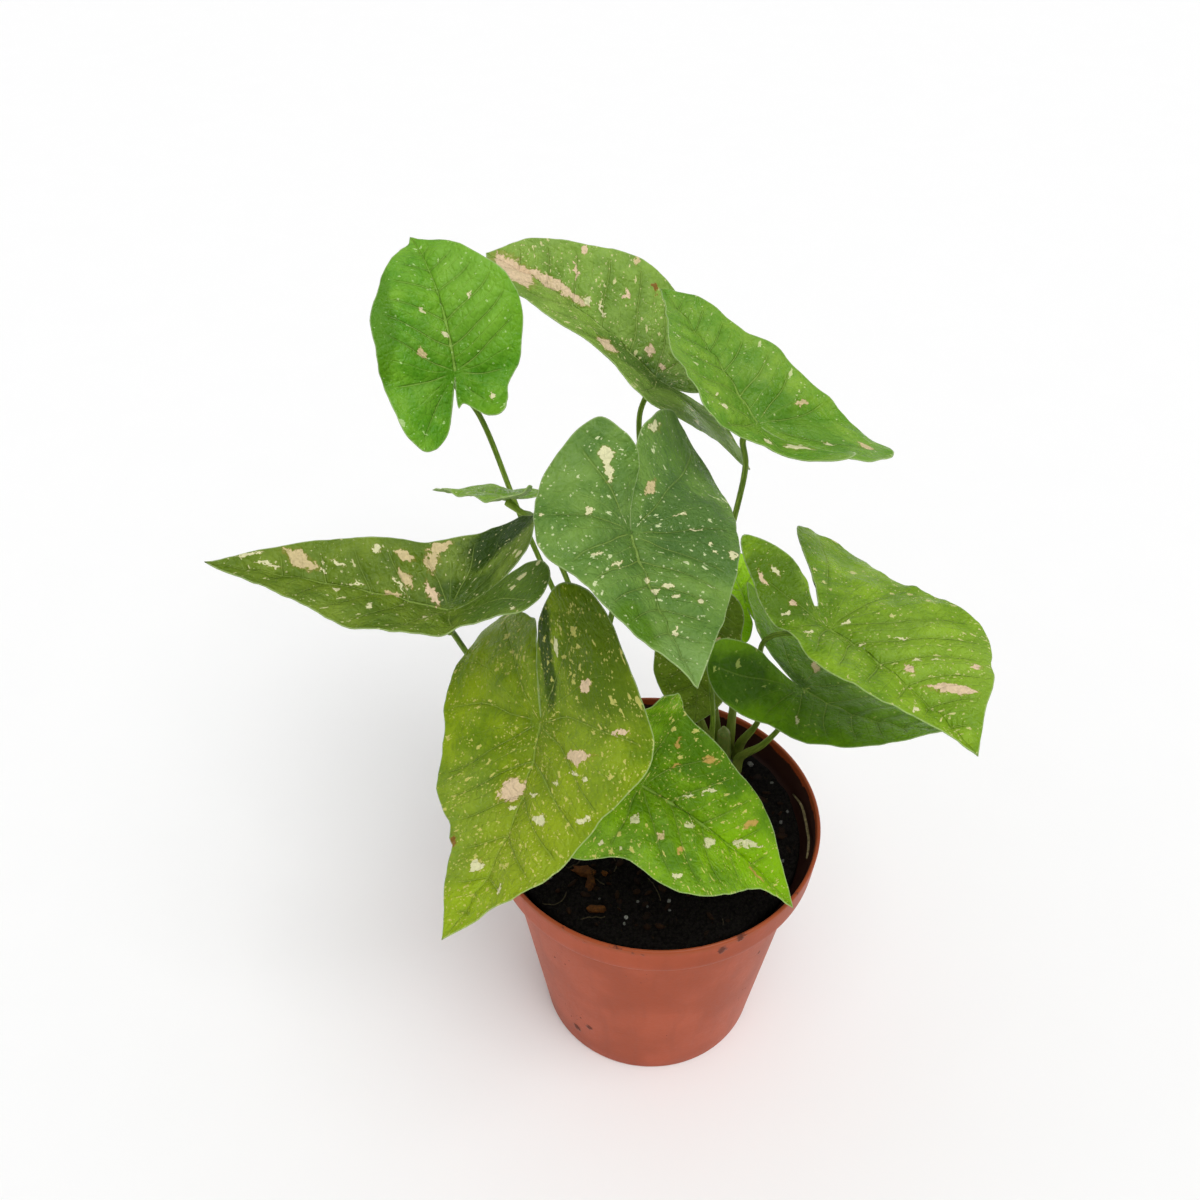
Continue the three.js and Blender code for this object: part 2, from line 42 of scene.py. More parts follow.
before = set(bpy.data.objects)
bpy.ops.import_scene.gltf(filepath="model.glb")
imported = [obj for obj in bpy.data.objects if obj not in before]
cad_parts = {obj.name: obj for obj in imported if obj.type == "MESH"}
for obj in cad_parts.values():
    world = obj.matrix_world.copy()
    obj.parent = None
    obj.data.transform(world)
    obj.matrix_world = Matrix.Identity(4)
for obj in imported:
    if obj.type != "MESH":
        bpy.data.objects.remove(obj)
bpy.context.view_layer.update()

MM = 0.001

# ---- The plant's own sizes, in millimetres and degrees ----

POT_RIM_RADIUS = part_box("pot")[1].x / MM
POT_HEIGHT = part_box("pot")[1].z / MM
POT_WALL = 1.4
BAND_HEIGHT = 12
BAND_DRAFT = 1
NECK_RADIUS = 54.8
FOOT_RADIUS = 42
CENTRE_RADIUS = 20
GROOVE_RISE = 2
GROOVE_SLOPE = 1.5
FOOT_WIDTH = 3.5
DRAIN_HOLES = 8
DRAIN_DIAMETER = 7

SOIL_TOP = POT_HEIGHT - 9
STEM_RADIUS = 3
STEM_TIP_RADIUS = 2.3
STEM_RISE = 20
STEM_ROOT = 7
STALK_BASE_RADIUS = 1.5
STALK_RADIUS = 0.95
STALK_ROOT = 6
STALK_SPLAY = 0.1
STALK_SHEATH = 45
SEAT_GAP = 0.3
BLADE_THICKNESS = 0.7
SINUS = 2
REAR_EASE = 0.2
NOTCH_SLOPE = 0.08
SEAM = 3
MARGIN_WAVES = 7
MARGIN_WAVE_HEIGHT = 0.7

# An outline is a row of radii about the point where the stalk joins the blade.
# Bearing 0 is the tip and bearing 180 is the notch between the lobes.
BEARINGS = (0, 11, 28, 52, 80, 108, 132, 150, 165, 174, 180)

# Lateral veins leave the midrib with this slope and bend toward the tip.
VEIN_SLOPE = 0.5
VEIN_BEND = 0.007
VEINS_PER_SIDE = 6
LOBE_VEIN_ANGLE = 40
VEIN_WANDER = 0.9

# Fine waves of the margin: how far they move it in its plane and out of it, and their size.
RIPPLE_OUTLINE = 0.5
RIPPLE_RISE = 0.9
RIPPLE_SIZE = 8

# How strongly the skin of the blades and stalks reflects the light around it.
LEAF_SHINE = 0.12


class Stem(NamedTuple):
    """A short stem: its middle at soil level, and how far it leans over its height."""

    node: str
    at: tuple
    lean: tuple


STEMS = (
    Stem("stem_1", (-9, 12), (-2, 1)),
    Stem("stem_2", (9, 8), (0, -1)),
    Stem("stem_3", (28, 31), (-1, 1)),
)


class Leaf(NamedTuple):
    """Where a blade sits, how it bends, its outline, its stalk and its greens.

    joint is where the stalk meets the blade. heading, dip and roll turn the blade. curl bends
    the tip down and the two lobes up. The pairs (left, right) that follow shape its halves:
    fold and side raise and bend them, lift raises the ends of the lobes, rear raises the lobes
    right from the joint, cup raises their outer margins, and pinch draws them toward each
    other. left and right are radii at the bearings. stem, around and route place the stalk,
    and slant turns its end. deep, pale and speck are the blade's two greens and its flecks.
    """

    name: str
    slot: str
    joint: tuple
    heading: float
    dip: float
    roll: float
    tip: float
    left: tuple
    right: tuple
    curl: tuple
    fold: tuple
    side: tuple
    lift: tuple
    rear: tuple
    cup: tuple
    pinch: tuple
    twist: float
    sweep: float
    stem: int
    around: float
    slant: float
    route: tuple
    deep: int
    pale: int
    speck: int
    flecks: float
    fine: float
    quilt: float


LEAVES = (
    Leaf(
        name="1", slot="leaf_bright", joint=(-66, 50.5, 255), heading=104, dip=-71, roll=12,
        tip=49, left=(43, 36, 30, 25, 24, 26, 27, 20, 3), right=(44, 36, 31, 22, 18, 20, 23, 11, 12),
        curl=(64, 12, 47), fold=(8, 22), side=(8, 5), lift=(2, 5),
        rear=(0, 0), cup=(9, 21), pinch=(-2, 7), twist=-10, sweep=1,
        stem=0, around=115, slant=30, route=((-29, 32, 158), (-48, 54, 197), (-60.5, 58.5, 235)),
        deep=0x4A9008, pale=0x7AB02A, speck=0xB9D98A, flecks=0.12, fine=0.12, quilt=0.8,
    ),
    Leaf(
        name="2", slot="leaf_mid", joint=(-1.5, 69.5, 242.5), heading=152, dip=-38, roll=3,
        tip=72, left=(65, 52, 35, 39, 40, 34, 38, 22, 11), right=(63, 47, 37, 28, 29, 28, 25, 23, 14),
        curl=(25, -45, 42), fold=(24, 33), side=(-3, 10), lift=(-2, 10),
        rear=(30, 12), cup=(-9, 14), pinch=(7, -2), twist=-13, sweep=0,
        stem=2, around=155, slant=20, route=((14, 37, 128), (7, 41, 160), (-3, 51, 200), (-6.5, 67, 229)),
        deep=0x668C26, pale=0x90B448, speck=0xE2DDA0, flecks=0.5, fine=0.5, quilt=0.7,
    ),
    Leaf(
        name="3", slot="leaf_bright", joint=(27, 21.5, 253.5), heading=123, dip=-32, roll=25,
        tip=56, left=(45, 37, 31, 28, 23, 23, 33, 26, 16), right=(48, 32, 27, 26, 31, 35, 31, 25, 16),
        curl=(15, 3, -5), fold=(7, 26), side=(-4, 0), lift=(26, 16),
        rear=(12, 17), cup=(-16, -10), pinch=(7, -3), twist=-11, sweep=-2.5,
        stem=2, around=200, slant=10, route=((20.5, 16, 134), (18, 16, 168), (21, 23, 202), (25, 23.5, 237)),
        deep=0x529012, pale=0x86AE32, speck=0xD6DFA0, flecks=0.16, fine=0.16, quilt=0.9,
    ),
    Leaf(
        name="4", slot="leaf_dark", joint=(-11.5, -23.5, 245), heading=-76, dip=14, roll=-35,
        tip=53, left=(43, 36, 31, 32, 37, 48, 49, 38, 21), right=(44, 38, 31, 32, 29, 32, 37, 29, 20),
        curl=(-7, 43, 54), fold=(24, 15), side=(0, 50), lift=(-14, 4),
        rear=(8, 5), cup=(-7, -16), pinch=(-1, 7), twist=3, sweep=2,
        stem=1, around=200, slant=35, route=((-11, -2, 138), (-20, -5, 173), (-16, -8, 206), (-13, -14, 232)),
        deep=0x507A2A, pale=0x769A40, speck=0xDDE8B0, flecks=0.25, fine=0.3, quilt=0.7,
    ),
    Leaf(
        name="5", slot="leaf_dark", joint=(-63.5, -26, 220), heading=173, dip=-13, roll=7,
        tip=71, left=(50, 37, 30, 23, 20, 33, 33, 25, 16), right=(50, 34, 24, 24, 31, 35, 30, 23, 17),
        curl=(8, 10, 41), fold=(17, 28), side=(6, 4), lift=(-27, -21),
        rear=(76, 54), cup=(-37, -16), pinch=(10, -8), twist=-21, sweep=0,
        stem=0, around=190, slant=15, route=((-30, 1, 131), (-54.5, -2, 166), (-65, -12.5, 200)),
        deep=0x52700E, pale=0x7A9228, speck=0xDDD9A0, flecks=0.3, fine=0.3, quilt=0.8,
    ),
    Leaf(
        name="6", slot="leaf_lime", joint=(-37, -44.5, 193), heading=-103, dip=44, roll=35,
        tip=67, left=(56, 48, 40, 43, 42, 43, 38, 28, 16), right=(55, 42, 39, 35, 40, 44, 36, 28, 14),
        curl=(-35, -31, -39), fold=(15, 9), side=(27, -5), lift=(13, -14),
        rear=(14, 28), cup=(-3, -16), pinch=(7, -3), twist=-6, sweep=-3,
        stem=0, around=250, slant=30, route=((-18, -8, 127), (-31, -24, 162)),
        deep=0x5E8000, pale=0x90A808, speck=0xD5D070, flecks=0.6, fine=0.95, quilt=0.8,
    ),
    Leaf(
        name="7", slot="leaf_bright", joint=(-6.5, -28, 148), heading=-19, dip=23, roll=19,
        tip=68, left=(50, 39, 29, 27, 32, 33, 31, 26, 14), right=(48, 42, 37, 29, 37, 47, 43, 34, 18),
        curl=(30, 50, 50), fold=(37, 26), side=(-1, 22), lift=(11, 4),
        rear=(0, 0), cup=(15, 15), pinch=(0, -3), twist=-16, sweep=-5.5,
        stem=1, around=255, slant=30, route=((3, -8, 117), (-2, -19, 134)),
        deep=0x528400, pale=0x88B610, speck=0xE0D878, flecks=0.5, fine=0.7, quilt=0.8,
    ),
    Leaf(
        name="8", slot="leaf_lime", joint=(48, -20.5, 208), heading=-55, dip=-8, roll=-9,
        tip=61, left=(53, 49, 45, 38, 38, 49, 46, 10, 11), right=(47, 38, 27, 19, 20, 28, 47, 27, 18),
        curl=(15, 51, 64), fold=(20, 27), side=(19, 50), lift=(-14, -2),
        rear=(10, 20), cup=(-12, -16), pinch=(-3, 7), twist=0, sweep=-3.5,
        stem=2, around=25, slant=30, route=((38, 20, 132), (35, 15, 171), (43, -6, 194)),
        deep=0x608C00, pale=0x8EB420, speck=0xDCD890, flecks=0.3, fine=0.4, quilt=0.8,
    ),
    Leaf(
        name="9", slot="leaf_dark", joint=(47, -0.5, 165), heading=-40, dip=8, roll=-11,
        tip=54, left=(44, 38, 33, 30, 32, 37, 41, 26, 7), right=(41, 33, 24, 20, 22, 30, 33, 21, 7),
        curl=(-40, 50, 50), fold=(4, 1), side=(11, 49), lift=(-7, 11),
        rear=(0, 0), cup=(-9, -16), pinch=(-2, 4), twist=-12, sweep=5,
        stem=2, around=325, slant=20, route=((40, 19, 118), (45.5, 7, 145)),
        deep=0x568400, pale=0x78A60A, speck=0xB0C060, flecks=0.12, fine=0.15, quilt=0.6,
    ),
    Leaf(
        name="10", slot="leaf_bright", joint=(32.5, 45.5, 164), heading=121, dip=-46, roll=0,
        tip=27, left=(22, 17, 14, 13, 14, 16, 16, 10, 7), right=(22, 17, 14, 13, 14, 16, 16, 10, 7),
        curl=(20, 20, 20), fold=(15, 15), side=(10, 10), lift=(2, 2),
        rear=(0, 0), cup=(0, 0), pinch=(0, 0), twist=0, sweep=0,
        stem=2, around=68, slant=20, route=((32, 46, 130), (33, 50, 152)),
        # Blade 10's greens are raised far above a leaf's own to make up for the shade it sits in: painted light.
        deep=0xAEF200, pale=0xC4FA28, speck=0xC8DC80, flecks=0.1, fine=0.15, quilt=0.4,
    ),
    Leaf(
        name="11", slot="leaf_dark", joint=(17, 36, 173), heading=-100, dip=72, roll=0,
        tip=50, left=(42, 29, 18, 14, 11, 9, 9, 7, 6), right=(44, 34, 22, 32, 26, 22, 18, 11, 8),
        curl=(5, 10, 10), fold=(12, 12), side=(15, 15), lift=(0, 0),
        rear=(0, 0), cup=(0, 0), pinch=(0, 0), twist=0, sweep=0,
        stem=2, around=112, slant=40, route=((22, 45, 130), (18, 48, 160)),
        deep=0x527008, pale=0x789222, speck=0xC8CC80, flecks=0.3, fine=0.4, quilt=0.5,
    ),
    Leaf(
        name="12", slot="leaf_mid", joint=(-50, 32, 219.5), heading=152, dip=8, roll=22,
        tip=30, left=(24, 18, 14, 13, 15, 17, 18, 13, 8), right=(24, 18, 14, 13, 15, 17, 18, 13, 8),
        curl=(9, 31, 31), fold=(11, 10), side=(16, 18), lift=(4, 1),
        rear=(0, 0), cup=(0, 0), pinch=(0, 0), twist=1, sweep=0,
        stem=0, around=60, slant=65, route=((-24, 26, 163), (-33, 33, 190), (-42, 33, 211)),
        deep=0x669818, pale=0x90B634, speck=0xD6DFA0, flecks=0.2, fine=0.2, quilt=0.4,
    ),
)

# The larger marks of each blade: tint, ahead and left of the joint, half length, half width, turn.
MARKS = {
    "1": (
        ("tan", 7, 10.5, 1.6, 1.5, 99), ("cream", 20, 7, 1.4, 0.5, 27),
        ("cream", 11.5, 1.5, 1.6, 0.6, 51),
        ("cream", 21.5, -9, 1, 0.6, 166), ("cream", -10.5, -11.5, 1.5, 0.8, 171),
    ),
    "2": (
        ("salmon", 59, 4, 9.6, 5.7, 147), ("salmon", 54.5, 10, 6.2, 4.5, 135),
        ("salmon", 46, -2, 11, 1.8, 3),
        ("salmon", 18, 15, 6.8, 3.2, 99), ("salmon", 25, -14, 1.3, 0.8, 119),
        ("salmon", 44.5, -18, 1.5, 1, 114),
        ("salmon", 43, -10.5, 2.9, 0.6, 130), ("salmon", 7.5, -5, 2.1, 1.3, 118),
        ("salmon", 1, -4, 1.4, 1.1, 124),
        ("brown", 20, -23, 1.9, 0.9, 132), ("cream", 28.5, -5, 2.5, 0.6, 156),
        ("cream", 33.5, -4, 1.7, 0.6, 153),
        ("tan", 29.5, -26, 1.6, 0.7, 122), ("cream", -15, 28.5, 1.8, 0.6, 85),
    ),
    "3": (
        ("tan", 1, -17, 2, 0.9, 79), ("cream", -15, 5.5, 3.2, 2.4, 103),
        ("cream", -9, 9.5, 1.6, 1.2, 110),
        ("cream", -15, -11, 1.3, 1.6, 29), ("tan", -20, -20, 1.8, 1.9, 39),
        ("cream", 5, 16.5, 1.8, 0.6, 106),
        ("cream", 9.5, 15, 1.3, 0.6, 107), ("cream", 36, 4, 1.3, 0.9, 84),
    ),
    "4": (
        ("cream", -22, -13, 2.7, 1.6, 24), ("cream", -18, -11, 3.1, 0.9, 27),
        ("tan", -18, 9, 3.5, 1.4, 145),
        ("cream", -37, 15, 2.5, 1.2, 108), ("cream", -4, -14.5, 1, 0.9, 120),
        ("cream", 15, -11, 2.4, 0.7, 118),
        ("cream", 12, -16.5, 1.4, 0.5, 105), ("cream", 19, 5, 1.6, 1, 81),
        ("cream", 21, 0.5, 1.4, 0.8, 124),
        ("cream", 17, -1, 1.6, 0.8, 122), ("cream", 23, 6, 1.2, 0.8, 114), ("cream", 25, 12, 1.2, 1, 58),
        ("cream", 9.5, 27, 1.2, 1, 148), ("cream", 5, 22, 0.7, 0.7, 149),
        ("cream", 8, 22.5, 0.9, 0.6, 98),
        ("cream", -2, 21, 2.4, 0.5, 90), ("cream", -8, 16.5, 2.2, 0.5, 121),
        ("cream", -2, -28.5, 1, 1.2, 83),
        ("cream", 34.5, 1.5, 1.5, 0.6, 149),
    ),
    "5": (
        ("tan", 44.5, -5.5, 4.9, 2.1, 159), ("cream", 59, -4.5, 3.4, 0.5, 15),
        ("cream", 24.5, -13.5, 1.2, 1.2, 162), ("tan", 16, -13, 2.8, 1.2, 159),
        ("tan", 8.5, -14, 3, 2.1, 97),
        ("tan", 7.5, -19.5, 3.3, 1.4, 32), ("tan", 14, -6.5, 3.4, 1.1, 134),
        ("salmon", 5.5, -3.5, 3.9, 1.2, 130),
        ("tan", 16.5, 0, 2.3, 1.1, 29), ("cream", 34, -6.5, 2.1, 0.4, 159),
        ("cream", 27.5, -1.5, 2.3, 0.5, 6),
        ("cream", 15.5, -4, 3, 0.4, 138), ("cream", 31.5, 4.5, 1.3, 0.9, 84),
        ("cream", 37.5, -3.5, 0.9, 0.6, 146),
        ("cream", 21, 10, 1.6, 0.5, 72), ("cream", 5, 10.5, 1.5, 1.1, 95),
        ("cream", -19.5, 21, 1.8, 0.6, 128),
        ("cream", 53, -2.5, 4, 0.5, 0),
    ),
    "6": (
        ("salmon", 20.5, -4, 4.6, 3.1, 128), ("salmon", 7.5, 20.5, 5, 1.8, 97),
        ("cream", 27, 12, 2.4, 1.6, 81),
        ("cream", 24, 27, 2.1, 0.9, 111), ("cream", 25.5, -2, 1.5, 0.8, 99),
        ("cream", 44, -5, 2.4, 1.6, 129),
        ("salmon", -1, 33, 2.1, 0.8, 104), ("cream", 12.5, 20.5, 1.8, 0.6, 86),
        ("salmon", -11.5, 23, 2.4, 1, 108),
        ("cream", 20.5, 6, 2, 0.8, 94), ("cream", 15.5, 14, 1.5, 0.6, 95),
        ("brown", 41, -16.5, 3.1, 1.1, 16),
        ("cream", 48.5, 9, 1.3, 0.7, 29), ("cream", 13, 25, 1, 0.5, 97),
        ("cream", -20, 12, 1.9, 0.8, 176),
    ),
    "7": (
        ("orange", 3, 18, 1.8, 0.9, 106), ("orange", 6, 12, 2, 0.7, 55),
        ("orange", 14, 19, 1.9, 1.5, 42),
        ("orange", 36, 9.5, 2.1, 1.2, 52), ("cream", 2, -14.5, 1.7, 1.2, 77),
        ("cream", 19, -5, 2, 1.2, 72),
        ("tan", 11, -15, 1.5, 1.1, 70), ("cream", 1.5, -26, 1.2, 0.8, 49),
        ("cream", 20, -24.5, 1.5, 0.9, 59),
        ("orange", 18, -16, 1.4, 0.8, 90), ("cream", -6, -27, 0.9, 1, 106),
        ("cream", 27, -5.5, 2.3, 1.3, 65),
        ("cream", 14.5, 5, 1.9, 0.6, 53), ("cream", 19, 10, 2.3, 0.5, 49), ("cream", 39, 4, 4.1, 1, 29),
        ("orange", 47, -3, 3.9, 0.8, 176),
    ),
    "8": (
        ("salmon", -23, -18.5, 3.6, 0.9, 20), ("salmon", -11, -10, 1.6, 1.5, 117),
        ("cream", -24, -14.5, 3, 0.9, 33), ("salmon", 28, 4.5, 1.9, 1.3, 165),
        ("salmon", 40.5, 8.5, 6.1, 1.6, 44),
        ("salmon", 38, 20.5, 2, 1, 68), ("cream", 12.5, 1, 1.2, 0.8, 77),
        ("cream", 17.5, 12, 2.6, 0.5, 51),
        ("cream", 30, 12.5, 1.5, 0.6, 55), ("cream", 27, 9, 1.2, 0.7, 49),
        ("cream", 3, -13, 1.2, 0.8, 58),
        ("cream", -8, -14, 0.8, 0.9, 149), ("cream", 42, -8, 1.2, 0.8, 90),
        ("cream", 2, 5, 1.4, 0.6, 90),
    ),
    "9": (
        ("tan", -3, 14, 2.7, 1.6, 114), ("cream", 6, -13, 1.8, 0.6, 124),
    ),
    "11": (
        ("salmon", -6, -8, 2.5, 2, 40), ("tan", 14, 6, 2, 1.2, 60),
    ),
}

# Places where a margin is nibbled, or drawn out to a point: bearing, width in degrees and depth.
NIBBLES = {
    "1": ((0, 1.3, -2.6),),
    "3": ((9, 2.5, 0.8),),
    "6": ((-21, 2.2, 1.6), (-30, 3, 0.7)),
    "8": ((34, 3.5, 0.9),),
}

MARK_TINTS = {
    "cream": 0xE9E6B4,
    "salmon": 0xEDD2AC,
    "tan": 0xDCC894,
    "orange": 0xD0AC58,
    "brown": 0x8A6420,
}

# The marks grow by this share when they are drawn with corners in place of round ends.
SHARD_GROWTH = 1.2
# Torn marks: the width in millimetres of the noise that moves their outlines, and how far it moves them.
TEAR_WIDTH = 2.4
TEAR_REACH = 4.5
# The painted shade that darkens the middle round the stalk: its half sizes as shares of the tip's length, and its
# strength.
MIDDLE_SHADE_HALF_LENGTH = 0.42
MIDDLE_SHADE_HALF_WIDTH = 0.34
MIDDLE_SHADE_STRENGTH = 0.34

# Soft areas of another green, partly the blade's own tone and partly painted shade and painted light: colour,
# ahead and left, half length, half width, turn, strength.
TONES_AND_PAINTED_LIGHT = {
    # Blade 1's darker left side and lighter right side are partly painted shade and painted light.
    "1": ((0x4A7E00, 18, 21, 28, 5, -12, 0.8), (0x84B838, 26, -12, 20, 11, 0, 0.6)),
    "2": ((0x3E6420, 6, 6, 20, 9, 10, 0.65),),
    "3": ((0x4A8014, -6, -11, 18, 10, 0, 0.5),),
    "4": (
        (0x416628, -4, 20, 22, 14, 0, 0.65), (0x7EA254, 48, 0, 13, 9, 0, 0.6),
        (0x4E7800, 36, -12, 8, 6, 20, 0.95),
    ),
    "5": (
        # The very dark first area, on one lobe, is painted shade.
        (0x1C3804, -13, -24, 17, 9, 30, 0.92), (0x42661A, -20, 12, 20, 11, -35, 0.6),
        (0x2E4C10, -4, -6, 10, 5, 0, 0.7),
    ),
    "6": (
        # The narrow dark strip along the notch is painted shade between the closed lobes.
        (0x4A6600, -22, 28, 24, 16, 0, 0.75), (0x243E00, -22, 7, 20, 3.5, 0, 0.9),
        (0x9CB020, 28, 9, 26, 19, 0, 0.55), (0x9CB80C, 58, 0, 16, 10, 0, 0.7),
    ),
    "7": ((0x4C7800, 10, 22, 24, 12, 0, 0.7), (0x8CC000, 45, 0, 20, 10, 0, 0.75)),
    "8": ((0x4C6E00, -18, -14, 18, 10, 30, 0.8), (0x90B430, 28, 14, 24, 15, 0, 0.55)),
    # Blade 9's two dark areas behind its joint are painted shade under blade 8.
    "9": ((0x244C00, -15, -15, 12, 8, 45, 0.7), (0x264C00, -7, 2, 10, 3, 0, 0.6)),
}


# ---- Settings that a user can change ----


def tint(code):
    """A colour written as 0xRRGGBB, as a linear (r, g, b)."""
    channels = ((code >> shift & 255) / 255 for shift in (16, 8, 0))
    return tuple(c / 12.92 if c <= 0.04045 else ((c + 0.055) / 1.055) ** 2.4 for c in channels)


def colour(name, description, code):
    return bpy.props.FloatVectorProperty(
        name=name, description=description, subtype="COLOR", size=3, min=0, max=1, default=tint(code)
    )


def length(name, description, millimetres):
    return bpy.props.FloatProperty(
        name=name,
        description=description,
        default=millimetres * MM,
        min=0,
        precision=5,
        unit="LENGTH",
        subtype="DISTANCE",
    )


def share(name, description, default):
    return bpy.props.FloatProperty(
        name=name, description=description, default=default, min=0, max=1, subtype="FACTOR"
    )


class PotSettings(bpy.types.PropertyGroup):
    facets: bpy.props.IntProperty(
        name="Facets", description="Flat strips round the pot", default=160, min=32, max=256
    )
    plastic: colour("Plastic", "Terracotta colour of the pot's side", 0x9D3D0C)
    rim: colour("Rim", "Warmer colour of the thin rim", 0x9C4A26)
    # The same colour also darkens the inside wall below the lip.
    dirt: colour("Dirt", "Specks and smears of potting mix on the pot", 0x35160E)
    gloss: share("Roughness", "Roughness of the moulded plastic", 0.42)


class SoilSettings(bpy.types.PropertyGroup):
    clod_height: length("Clod height", "Rise of the low clods", 1.3)
    crumb_height: length("Crumb height", "Rise of the small crumbs", 0.9)
    chips: bpy.props.IntProperty(name="Bark chips", description="Number of bark chips", default=150, min=0)
    grains: bpy.props.IntProperty(name="Grains", description="Number of perlite grains", default=26, min=0)
    fibres: bpy.props.IntProperty(name="Fibres", description="Number of root fibres", default=46, min=0)
    # Darker than damp peat on its own: partly painted shade for the mix deep in the pot.
    peat: colour("Peat", "Colour of the damp potting mix", 0x050302)
    bark: colour("Bark", "Colour of the larger bark chips", 0x6A3E16)
    perlite: colour("Perlite", "Colour of the mineral grains", 0xA9A8A2)


class StalkSettings(bpy.types.PropertyGroup):
    sides: bpy.props.IntProperty(name="Sides", description="Sides of a stalk's section", default=20, min=6)
    steps: bpy.props.IntProperty(name="Steps", description="Sections along a stalk", default=90, min=12)
    swelling: share("Swelling", "How much a stalk widens just under its blade", 0.38)
    green: colour("Green", "Middle of the stalk", 0x5E7A22)
    fresh: colour("Fresh green", "Top of the stalk and its streaks", 0x8DA83C)
    sheath: colour("Sheath", "Foot of the stalk, in its sheath", 0x7F8A3A)


class BladeSettings(bpy.types.PropertyGroup):
    thickness: length("Thickness", "Thickness of the blade at its middle", 0.6)
    rim_thickness: length("Rim thickness", "Thickness of the blade at its margin", 0.35)
    quilting: length("Quilting", "Rise of the blade between two lateral veins", 0.95)
    groove: length("Vein groove", "Depth of the veins in the upper face", 0.22)
    midrib: length("Midrib", "Rise of the midrib under the blade", 0.9)
    spans: bpy.props.IntProperty(name="Spans", description="Strips on each side", default=108, min=18)
    rings: bpy.props.IntProperty(name="Rings", description="Rings from stalk to margin", default=40, min=6)
    vein: colour("Vein", "Pale line along the veins", 0xA3BE5C)
    margin: colour("Margin", "Thin pale line round the blade", 0xB4C88C)
    underside: colour("Underside", "Matt grey green of the lower face", 0x86A35A)
    gloss: share("Roughness", "Roughness of the upper face", 0.32)


class StageSettings(bpy.types.PropertyGroup):
    floor: colour("Floor", "Plain pale floor", 0xFAFAFA)
    light: bpy.props.FloatProperty(name="Light", description="Strength of the soft light", default=1.5, min=0)
    glint: bpy.props.FloatProperty(
        name="Glint", description="Strength of the small light that only glossy skins show", default=3.2, min=0
    )
    sky: bpy.props.FloatProperty(name="Sky", description="Strength of the even light", default=0.62, min=0)


# ---- Meshes ----


def wear(piece, slot, *nodes):
    """Puts a finished piece on the plant: it rides on the frame and stands for its nodes."""
    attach(piece, "root")
    if nodes:
        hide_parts(*nodes)
    return piece


def mesh_piece(name, points, faces, material, marks=None):
    """A smooth mesh object from points in millimetres. marks are values kept at each point."""
    places = np.asarray(points, float) * MM
    if not np.isfinite(places).all():
        raise ValueError(f"{name} has points without a place")
    mesh = bpy.data.meshes.new(name)
    mesh.from_pydata(places.tolist(), [], [list(face) for face in faces])
    for mark, values in (marks or {}).items():
        values = np.asarray(values, np.float32)
        kind, field = ("FLOAT_VECTOR", "vector") if values.ndim == 2 else ("FLOAT", "value")
        mesh.attributes.new(mark, kind, "POINT").data.foreach_set(field, values.ravel())
    mesh.polygons.foreach_set("use_smooth", [True] * len(mesh.polygons))
    mesh.validate()
    mesh.update()
    mesh.materials.append(material)
    piece = bpy.data.objects.new(name, mesh)
    bpy.context.scene.collection.objects.link(piece)
    return piece


def smoothstep(value, low, high):
    x = np.clip((np.asarray(value, float) - low) / (high - low), 0, 1)
    return x * x * (3 - 2 * x)


class RoundCurve:
    """A centripetal curve through points, read evenly by share of its points or its length."""

    def __init__(self, points, samples=400):
        self.points = np.asarray(points, float)
        self.line = np.array([self.at(k / samples) for k in range(samples + 1)])
        steps = np.linalg.norm(np.diff(self.line, axis=0), axis=1)
        self.travelled = np.concatenate([[0], np.cumsum(steps)])
        self.length = self.travelled[-1]

    def at(self, share):
        points = self.points
        place = share * (len(points) - 1)
        k = min(int(place), len(points) - 2)
        t = place - k
        b, c = points[k], points[k + 1]
        a = points[k - 1] if k > 0 else 2 * points[0] - points[1]
        d = points[k + 2] if k + 2 < len(points) else 2 * points[-1] - points[-2]
        before, here, after = (math.sqrt(np.linalg.norm(q - p)) for p, q in ((a, b), (b, c), (c, d)))
        start = ((b - a) / before - (c - a) / (before + here) + (c - b) / here) * here
        end = ((c - b) / here - (d - b) / (here + after) + (d - c) / after) * here
        return (
            b
            + start * t
            + (3 * (c - b) - 2 * start - end) * t**2
            + (2 * (b - c) + start + end) * t**3
        )

    def along(self, share):
        """The point at this share of the curve's length."""
        reach = share * self.length
        return np.array([np.interp(reach, self.travelled, self.line[:, k]) for k in range(3)])


def tube(centres, radii, sides, flute=None):
    """Points and faces of a closed stalk. flute(k, turns) scales the radius round section k."""
    centres = np.asarray(centres, float)
    turns = np.arange(sides) * 2 * math.pi / sides
    points = []
    side = np.array([1.0, 0, 0])
    last = len(centres) - 1
    for k, centre in enumerate(centres):
        along = centres[min(k + 1, last)] - centres[max(k - 1, 0)]
        along /= np.linalg.norm(along)
        side = side - along * side.dot(along)
        side /= np.linalg.norm(side)
        across = np.cross(along, side)
        reach = radii[k] * (flute(k, turns) if flute else np.ones(sides))
        ring = centre + np.outer(reach * np.cos(turns), side) + np.outer(reach * np.sin(turns), across)
        points.append(ring)
    points = np.concatenate([*points, centres[:1], centres[-1:]])
    faces = []
    for k in range(last):
        for i in range(sides):
            a, b = k * sides + i, k * sides + (i + 1) % sides
            faces.append((a, b, b + sides, a + sides))
    foot, top = len(points) - 2, len(points) - 1
    for i in range(sides):
        a, b = i, (i + 1) % sides
        faces.append((foot, b, a))
        faces.append((top, last * sides + a, last * sides + b))
    return points, faces


def joined(parts):
    """Several (points, faces, value) parts as one mesh's points, faces and a value at each point."""
    points, faces, values = [], [], []
    total = 0
    for part, part_faces, value in parts:
        points.append(part)
        faces.extend(tuple(corner + total for corner in face) for face in part_faces)
        values.append(np.full(len(part), value))
        total += len(part)
    return np.concatenate(points), faces, np.concatenate(values)


# ---- Node trees ----


